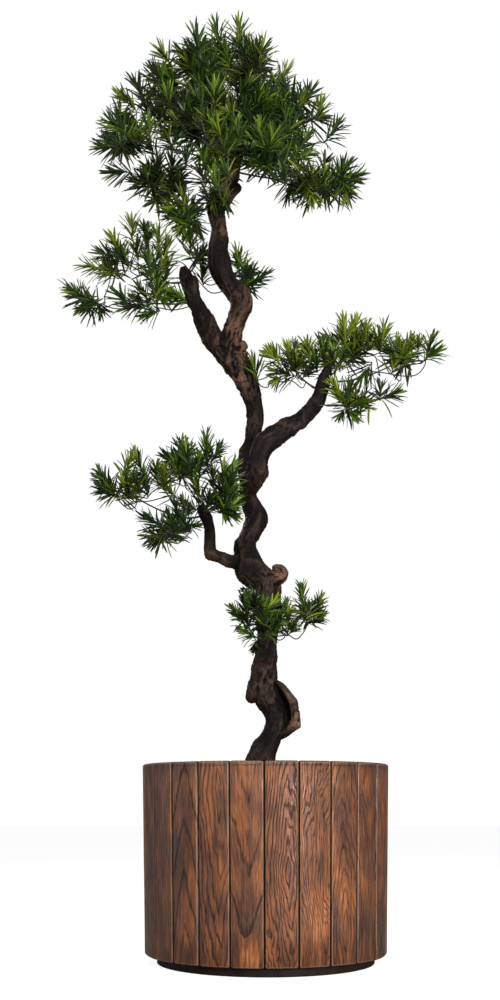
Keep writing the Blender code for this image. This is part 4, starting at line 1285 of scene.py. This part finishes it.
def tube_points(path, radii, sides):
    """Rings round a path, in rows, and the faces of a closed tube from the first index."""
    side = (path[1] - path[0]).orthogonal().normalized()
    points, faces = [], [tuple(reversed(range(sides)))]
    for index, (place, radius) in enumerate(zip(path, radii)):
        ahead = (path[min(index + 1, len(path) - 1)] - path[max(index - 1, 0)]).normalized()
        side = (side - side.dot(ahead) * ahead).normalized()
        beside = ahead.cross(side)
        for step in range(sides):
            angle = math.tau * step / sides
            points.append(tuple(place + radius * (math.cos(angle) * side + math.sin(angle) * beside)))
        if index:
            low, high = (index - 1) * sides, index * sides
            faces += [(low + step, low + (step + 1) % sides, high + (step + 1) % sides, high + step)
                      for step in range(sides)]
    faces.append(tuple(range(len(points) - sides, len(points))))
    return points, faces


def arc(start, bend, end, steps):
    """Places along a curve that leaves the start towards the bend and ends at the end."""
    shares = [step / steps for step in range(steps + 1)]
    return [(1 - t) ** 2 * start + 2 * t * (1 - t) * bend + t ** 2 * end for t in shares]


def leaf_skins(tone):
    """Moulded polyethylene leaves, even and rather glossy, and paler and duller on the lower side.

    A leaf is dealt one of four greens near its spray's own, the young ones the palest, so every skin is a
    plain colour.
    """
    above, below, _ = TONES[tone]
    return (
        plain_skin(f"leaf_{tone}_upper", above, {"Roughness": 0.34, "IOR": 1.5, "Specular IOR Level": 0.38}),
        plain_skin(f"leaf_{tone}_lower", below, {"Roughness": 0.55, "IOR": 1.5, "Specular IOR Level": 0.3}),
    )


def taped_wire():
    """Steel wire wrapped in brown floral tape, with a dull, slightly waxy surface."""
    return plain_skin("taped_wire", "#2c241b", {"Roughness": 0.62, "IOR": 1.48})


def limb_middle(stations, height):
    """The place on a limb's middle line at a height, and which way the limb runs there."""
    path = smooth_path(stations, 8)
    index = int(np.argmin(np.abs(path[1:, 2] - height))) + 1
    return Vector(path[index, :3]), Vector(path[index, :3] - path[index - 1, :3]).normalized()


def mass_stem(mass, wood):
    """The stem leaves the bark squarely on the side that faces its mass, and bends up to a hub low in it."""
    middle, along_limb = limb_middle(LIMBS[mass.limb], mass.stem_height)
    centre = Vector(mass.centre)
    hub = centre - Vector((0, 0, HUB_DROP * mass.reach[2])) + HUB_BACK * (middle - centre)
    outwards = hub - middle
    outwards = (outwards - outwards.dot(along_limb) * along_limb).normalized()
    spot = wood.ray_cast(middle + outwards * 0.06, -outwards)[0] or middle
    start = spot - outwards * STEM_DEPTH
    bend = start + outwards * 0.30 * (hub - start).length
    return arc(start, bend, hub, 9)


def directions(count, turn):
    """Headings spread evenly from straight up down to the lowest twigs."""
    for index in range(count):
        up = 1 - (1 - LOWEST_HEADING) * (index + 0.5) / count
        flat = math.sqrt(1 - up * up)
        angle = turn + index * GOLDEN_ANGLE
        yield Vector((flat * math.cos(angle), flat * math.sin(angle), up))


def distance_to_line(point, start, end):
    """How far a point lies from the nearest place between the start and the end."""
    share = (point - start).dot(end - start) / (end - start).length_squared
    return (point - start.lerp(end, min(max(share, 0), 1))).length


def keeps_outline(tier, base, tip):
    """Whether a spray shows clear of the photograph's gaps and near the sprays that it shows."""
    for share in OUTLINE_SHARES:
        pixel = Vector(in_photo(base.lerp(tip, share)))
        if any((pixel - Vector(gap[:2])).length < gap[2] for gap in SKY_GAPS):
            return False
        away = [distance_to_line(pixel, Vector(spray[:2]), Vector(spray[2:4])) for spray in SPRAYS[tier]]
        if min(away) > TIER_RULES[tier].outline_px:
            return False
    return True


def nearest_mass(masses, u, v):
    """How far off the middle of the nearest mass a pixel lies, as a share of its reach, and that mass."""
    best = None
    for name, mass in masses.items():
        if name in HIDDEN_MASSES:
            continue
        spot = out_of_photo(u, v, mass.centre[1])
        across, up = spot.x - mass.centre[0], spot.z - mass.centre[2]
        distance = math.hypot(across / mass.reach[0], up / mass.reach[2])
        if best is None or distance < best[0]:
            best = (distance, name, mass)
    return best


class FoliageSettings(bpy.types.PropertyGroup):
    leaf_length: FloatProperty(name="Leaf length", description="Length of a full-grown leaf", default=0.058,
                               min=0.01, max=0.2, subtype="DISTANCE", unit="LENGTH")
    leaf_width: FloatProperty(name="Leaf width", description="Width of a leaf at its widest", default=0.0054,
                              min=0.001, max=0.03, subtype="DISTANCE", unit="LENGTH")
    leaf_thickness: FloatProperty(name="Leaf thickness", description="Thickness of a leaf along its keel",
                                  default=0.0008, min=0.0003, max=0.005, subtype="DISTANCE", unit="LENGTH")
    leaves: IntProperty(name="Leaves on a spray", description="How many leaves a spray of full length has",
                        default=26, min=3, max=80)
    heart: IntProperty(name="Shoots on the trunk", description="Short shoots that hide it inside the crown",
                       default=70, min=0, max=500)
    density: FloatProperty(name="Sprays", description="Sprays grown by rule for each square metre of reach",
                           default=1000, min=0, max=5000)


class Grove:
    """The twigs and leaves of one tier of foliage as they grow."""

    def __init__(self, tier, settings, wood):
        self.tier, self.settings, self.wood = tier, settings, wood
        self.masses, self.rule = MASSES[tier], TIER_RULES[tier]
        self.twigs, self.twig_faces, self.forks = [], [], []
        self.leaves = {tone: [] for tone in TONES}
        self.joints = {name: mass_stem(mass, wood) for name, mass in self.masses.items()}
        for stem in self.joints.values():
            self.add_twig(stem, STEM_RADII, 6)
            # No wire leaves a stem near the bark
            del stem[:4]

    def add_twig(self, path, ends, sides=5):
        """A twig along a path, which thins from its first radius to its last."""
        last = len(path) - 1
        radii = [ends[0] + (ends[1] - ends[0]) * index / last for index in range(last + 1)]
        points, faces = tube_points(path, radii, sides)
        self.forks += path
        first = len(self.twigs)
        self.twigs += points
        self.twig_faces += [tuple(first + corner for corner in face) for face in faces]

    def is_clear(self, root, tip):
        """Whether a leaf from root to tip keeps out of the wood."""
        way = tip - root
        return self.wood.ray_cast(root, way.normalized(), way.length)[0] is None

    def add_spray(self, base, tip, tone, chance):
        """A shoot with leaves that spiral up it: long and spreading below, short and upright at its tip."""
        settings, leaf_share = self.settings, self.rule.leaf_share
        reach = tip - base
        axis, full = reach.normalized(), reach.length
        # The last leaves reach the tip from where the wire ends
        leaf = leaf_share * settings.leaf_length * min(1.0, 0.40 + full / FULL_SPRAY)
        stem = max(full - 0.72 * leaf, 0.30 * full)
        end = base + axis * stem
        sway = Vector((chance.uniform(-1, 1), chance.uniform(-1, 1), chance.uniform(-1, 1))) * 0.10 * stem
        path = arc(base, base.lerp(end, 0.5) + sway, end, 4)
        self.add_twig(path, SPRAY_RADII, 4)
        leafy = 0.45 + 0.55 * min(stem / FULL_WIRE, 1.4)
        count = max(FEWEST_LEAVES, round(settings.leaves * leafy / leaf_share))
        turn = chance.uniform(0, math.tau)
        side = axis.orthogonal().normalized()
        beside = axis.cross(side)
        for index in range(count):
            share = index / (count - 1)
            angle = turn + index * GOLDEN_ANGLE + chance.uniform(-0.3, 0.3)
            out = math.cos(angle) * side + math.sin(angle) * beside
            lean = LEAN_LOW - (LEAN_LOW - LEAN_HIGH) * share ** 0.85 + chance.uniform(-LEAN_STRAY, LEAN_STRAY)
            lean = math.radians(lean)
            along = (math.cos(lean) * axis + math.sin(lean) * out).normalized()
            place = share * (len(path) - 1)
            low = min(int(place), len(path) - 2)
            root = path[low].lerp(path[low + 1], place - low)
            length = leaf * (0.98 - 0.26 * share ** 2) * chance.uniform(0.84, 1.08)
            face = (axis - axis.dot(along) * along).normalized()
            roll = chance.uniform(-0.5, 0.5)
            face = (math.cos(roll) * face + math.sin(roll) * along.cross(face)).normalized()
            # A leaf arches back off its face, and low ones droop
            bend = -face * chance.uniform(-0.08, 0.26)
            bend += Vector((0, 0, -1)) * chance.uniform(0.02, 0.20) * (1 - share)
            if not self.is_clear(root, root + along * length + bend * length):
                continue
            shade = self.leaf_tone(tone, share, chance)
            width = settings.leaf_width * chance.uniform(0.82, 1.08)
            self.leaves[shade].append(
                leaf_points(root, along, face, length, width, settings.leaf_thickness, bend))

    def leaf_tone(self, tone, share, chance):
        """The tone of a leaf: by lot near its spray's own, and often paler at the spray's tip."""
        rank = TONE_ORDER.index(tone) + chance.choices(TONE_STEPS, STEP_CHANCES)[0]
        rank += 1 if share > 0.70 and chance.random() < 0.50 else 0
        rank += 1 if chance.random() < self.rule.paler else 0
        return TONE_ORDER[min(max(rank, 0), len(TONES) - 1)]

    def grow(self, joints, base, tip, tone, chance):
        """A wire from the nearest joint, bowed a little downwards, with a spray at its end."""
        root = min(joints, key=lambda joint: (joint - base).length)
        span = base - root
        bow = Vector((chance.uniform(-1, 1), chance.uniform(-1, 1), -1.0)) * 0.20 * span.length
        path = arc(root, root.lerp(base, 0.6) + bow, base, 6)
        self.add_twig(path, WIRE_RADII)
        joints += path[2:5]
        self.add_spray(base, tip, tone, chance)

    def grow_shown(self):
        """Grows the sprays that the photograph shows, and returns the names of the masses that hold them."""
        seen = set()
        for number, (u0, v0, u1, v1, tone) in enumerate(SPRAYS[self.tier]):
            chance = random.Random(f"{self.tier} {number}")
            distance, name, mass = nearest_mass(self.masses, (u0 + u1) / 2, (v0 + v1) / 2)
            seen.add(name)
            # Those in the middle of a mass's outline mostly stand well forward in it
            forward = math.sqrt(max(0.0, 1 - min(distance, 1) ** 2))
            depth = chance.uniform(-0.25, 0.25) + forward * chance.uniform(-0.85, 0.30)
            y = mass.centre[1] + mass.reach[1] * depth
            base = out_of_photo(u0, v0, y)
            tip = out_of_photo(u1, v1, y - TIP_LEAN * forward + chance.uniform(-TIP_STRAY, TIP_STRAY))
            self.grow(self.joints[name], base, tip, tone, chance)
        return seen

    def hang_loops(self):
        """The bare wires. Each end is twisted round the twig that the photograph shows it at."""
        forks = list(self.forks)
        for pixels in WIRES[self.tier]:
            start, end = (min(forks, key=lambda fork: (Vector(in_photo(fork)) - Vector(pixel)).length)
                          for pixel in (pixels[0], pixels[-1]))
            depths = [start.y + (end.y - start.y) * index / (len(pixels) - 1) for index in range(len(pixels))]
            places = [start, *(out_of_photo(*pixel, y) for pixel, y in zip(pixels, depths)), end]
            path = smooth_path([Station(place.z, place.x, place.y, 0) for place in places], 5)
            self.add_twig([Vector(row[:3]) for row in path], LOOP_RADII)

    def grow_by_rule(self, seen):
        """Fills each mass with upright sprays, behind the ones that show and within their outline."""
        for name, mass in self.masses.items():
            chance = random.Random(f"{name} rule")
            wide, deep, high = mass.reach
            surface = wide * deep + deep * high + high * wide
            count = round(self.settings.density * self.rule.fullness * surface)
            hidden = name in HIDDEN_MASSES
            for heading in directions(count, chance.uniform(0, math.tau)):
                # The front of a mass that shows has its sprays already, and a hidden one is open in places
                if name in seen and heading.y < 0.05:
                    continue
                if hidden and lumps(np.array([heading]) * 2.4, len(name))[0] < -0.12:
                    continue
                shoot = Vector((heading.x, heading.y, 0.45 * heading.z + 0.75)).normalized()
                edge = Vector([part * reach for part, reach in zip(heading, mass.reach)])
                half = shoot * chance.uniform(*RULE_LENGTHS) / 2
                middle = Vector(mass.centre) + edge * chance.uniform(0.30, 0.74)
                base, tip = middle - half, middle + half
                tone = chance.choices(TONE_ORDER, RULE_CHANCES)[0]
                if hidden or keeps_outline(self.tier, base, tip):
                    self.grow(self.joints[name], base, tip, tone, chance)

    def clothe_trunk(self):
        """Short shoots straight from the trunk, which hide it where it runs up through the crown."""
        chance = random.Random("crown heart")
        shoots = self.settings.heart
        for index in range(shoots):
            height = HEART_LOW + (HEART_HIGH - HEART_LOW) * (index + chance.random()) / shoots
            middle, along_limb = limb_middle(LIMBS["trunk"], height)
            angle = index * GOLDEN_ANGLE
            out = Vector((math.cos(angle), math.sin(angle), chance.uniform(-0.1, 0.5)))
            out = (out - 0.6 * out.dot(along_limb) * along_limb).normalized()
            base = middle + out * chance.uniform(0.030, 0.070)
            tip = base + (out + Vector((0, 0, 0.9))).normalized() * chance.uniform(0.065, 0.095)
            tone = chance.choices(TONE_ORDER, SHOOT_CHANCES)[0]
            if keeps_outline(self.tier, base, tip):
                self.grow([middle + out * 0.012], base, tip, tone, chance)

    def build(self):
        """One piece of all the twigs, and one of the leaves of each tone."""
        nodes = list(self.masses)
        made = joined_mesh(f"{self.tier}_twigs", np.array(self.twigs), self.twig_faces)
        made.data.materials.append(taped_wire())
        made.data.shade_smooth()
        settle(made, "dark_bark", *nodes)
        faces, upper = leaf_faces()
        size = 4 * len(LEAF_STATIONS) + 1
        for tone, leaves in self.leaves.items():
            if not leaves:
                continue
            points = np.array(leaves).reshape(-1, 3)
            corners = [tuple(index * size + corner for corner in face)
                       for index in range(len(leaves)) for face in faces]
            piece = joined_mesh(f"{self.tier}_leaves_{tone}", points, corners)
            for skin in leaf_skins(tone):
                piece.data.materials.append(skin)
            sides = np.tile([0 if top else 1 for top in upper], len(leaves))
            piece.data.polygons.foreach_set("material_index", sides.astype(np.int32))
            piece.data.set_sharp_from_angle(angle=math.radians(25))
            settle(piece, TONES[tone][2], *nodes)


class PODOCARPUS_OT_foliage(bpy.types.Operator):
    """Grows the twigs, shoots and leaves of one tier of foliage within the reach of its masses"""
    bl_idname = "podocarpus.foliage"
    bl_label = "Foliage"

    tier: EnumProperty(name="Tier", description="Which tier of foliage to grow",
                       items=[(tier, tier.title(), f"The {tier} tier of foliage") for tier in MASSES])

    def execute(self, context):
        wood = BVHTree.FromObject(bpy.data.objects["old_wood"], context.evaluated_depsgraph_get())
        grove = Grove(self.tier, context.scene.podocarpus_foliage, wood)
        seen = grove.grow_shown()
        grove.hang_loops()
        grove.grow_by_rule(seen)
        if self.tier == "crown":
            grove.clothe_trunk()
        grove.build()
        return {"FINISHED"}


# Stage

class StageSettings(bpy.types.PropertyGroup):
    key_power: FloatProperty(name="Key light", description="Power of the large soft light at the front",
                             default=85.0, min=0.0, unit="POWER")
    surround: FloatProperty(name="Surround", description="How much light the white surround gives",
                            default=0.22, min=0.0)


# Each lamp's name, its share of the key light's power, its size, its place and what it is turned to
LAMPS = (
    ("key", 1.0, 1.4, (0.6, -2.8, 2.8), (0, 0, 0.9)),
    ("low_sheen", 0.80, 0.9, (1.25, -2.5, 0.60), (0, 0, 0.4)),
    ("left_sheen", 0.07, 1.0, (-2.2, 0.2, 0.60), (0, 0, 0.3)),
    ("fill", 0.2, 1.2, (-2.2, -1.6, 2.2), (0, 0, 1.2)),
    ("rim", 0.45, 1.6, (-1.0, 2.4, 2.8), (0, 0, 1.0)),
)
# How brightly the floor shines for the camera alone
PAPER_GLOW = 0.88


def add_lamp(name, power, size, place, target):
    """A soft square lamp turned to its target."""
    bpy.ops.object.light_add(type="AREA", location=place)
    lamp = name_active(name)
    lamp.data.energy = power
    lamp.data.size = size
    lamp.rotation_euler = (Vector(target) - Vector(place)).to_track_quat("-Z", "Y").to_euler()


def paper_sweep():
    """Matt white paper, so evenly lit out to its far edge that it meets the surround unseen."""
    skin = Skin("pale_paper", "#9c9b99", {"Roughness": 0.95, "Emission Color": grey(1.0)})
    seen = skin.node("ShaderNodeLightPath")["Is Camera Ray"]
    skin.feed({"Emission Strength": skin.maths("MULTIPLY", seen, PAPER_GLOW)})
    return skin.material


class PODOCARPUS_OT_stage(bpy.types.Operator):
    """Sets the pale floor, the soft studio light and the photograph's camera"""
    bl_idname = "podocarpus.stage"
    bl_label = "Stage"

    def execute(self, context):
        settings = context.scene.podocarpus_stage
        deselect_all()
        bpy.ops.mesh.primitive_plane_add(size=30, location=(0, 0, 0))
        floor = name_active("pale_floor")
        floor.data.materials.append(paper_sweep())

        world = bpy.data.worlds.new("white_surround")
        context.scene.world = world
        world.use_nodes = True
        background = world.node_tree.nodes["Background"]
        background.inputs["Color"].default_value = grey(1.0)
        # The white surround looks as bright as paper, and lights the plant only as much as a dim room
        seen = add_node(world.node_tree, "ShaderNodeLightPath").outputs["Is Camera Ray"]
        strength = add_node(world.node_tree, "ShaderNodeMapRange",
                            {"Value": seen, "To Min": settings.surround, "To Max": 1.0})
        world.node_tree.links.new(strength.outputs[0], background.inputs["Strength"])

        for name, share, size, place, target in LAMPS:
            add_lamp(name, settings.key_power * share, size, place, target)

        bpy.ops.object.camera_add(location=CAMERA_PLACE, rotation=(math.pi / 2 + CAMERA_PITCH, 0, 0))
        camera = name_active("photo_camera")
        camera.data.sensor_width = SENSOR_MM
        camera.data.lens = FOCAL_PX * SENSOR_MM / PHOTO_HEIGHT
        camera.data.shift_y = (AXIS_V - PHOTO_HEIGHT / 2) / PHOTO_HEIGHT
        context.scene.camera = camera
        context.scene.view_settings.view_transform = "Standard"
        return {"FINISHED"}


SETTINGS = {
    "podocarpus_planter": PlanterSettings,
    "podocarpus_bark": BarkSettings,
    "podocarpus_foliage": FoliageSettings,
    "podocarpus_stage": StageSettings,
}
OPERATORS = (
    PODOCARPUS_OT_staves,
    PODOCARPUS_OT_plinth,
    PODOCARPUS_OT_soil,
    PODOCARPUS_OT_limbs,
    PODOCARPUS_OT_foliage,
    PODOCARPUS_OT_stage,
)


class PODOCARPUS_PT_panel(bpy.types.Panel):
    """Lists the groups of pieces and their settings"""
    bl_idname = "PODOCARPUS_PT_panel"
    bl_label = "Podocarpus"
    bl_space_type = "VIEW_3D"
    bl_region_type = "UI"
    bl_category = "Podocarpus"

    def draw(self, context):
        for name, group in SETTINGS.items():
            box = self.layout.box()
            for key in group.__annotations__:
                box.prop(getattr(context.scene, name), key)
        for operator in OPERATORS:
            self.layout.operator(operator.bl_idname)


def register():
    for kind in (*SETTINGS.values(), *OPERATORS, PODOCARPUS_PT_panel):
        bpy.utils.register_class(kind)
    for name, group in SETTINGS.items():
        setattr(bpy.types.Scene, name, PointerProperty(type=group))


def unregister():
    for name in SETTINGS:
        delattr(bpy.types.Scene, name)
    for kind in reversed((*SETTINGS.values(), *OPERATORS, PODOCARPUS_PT_panel)):
        bpy.utils.unregister_class(kind)


def main():
    register()
    bpy.ops.podocarpus.staves()
    bpy.ops.podocarpus.plinth()
    bpy.ops.podocarpus.soil()
    bpy.ops.podocarpus.limbs()
    for tier in MASSES:
        bpy.ops.podocarpus.foliage(tier=tier)
    bpy.ops.podocarpus.stage()


if __name__ == "__main__":
    main()
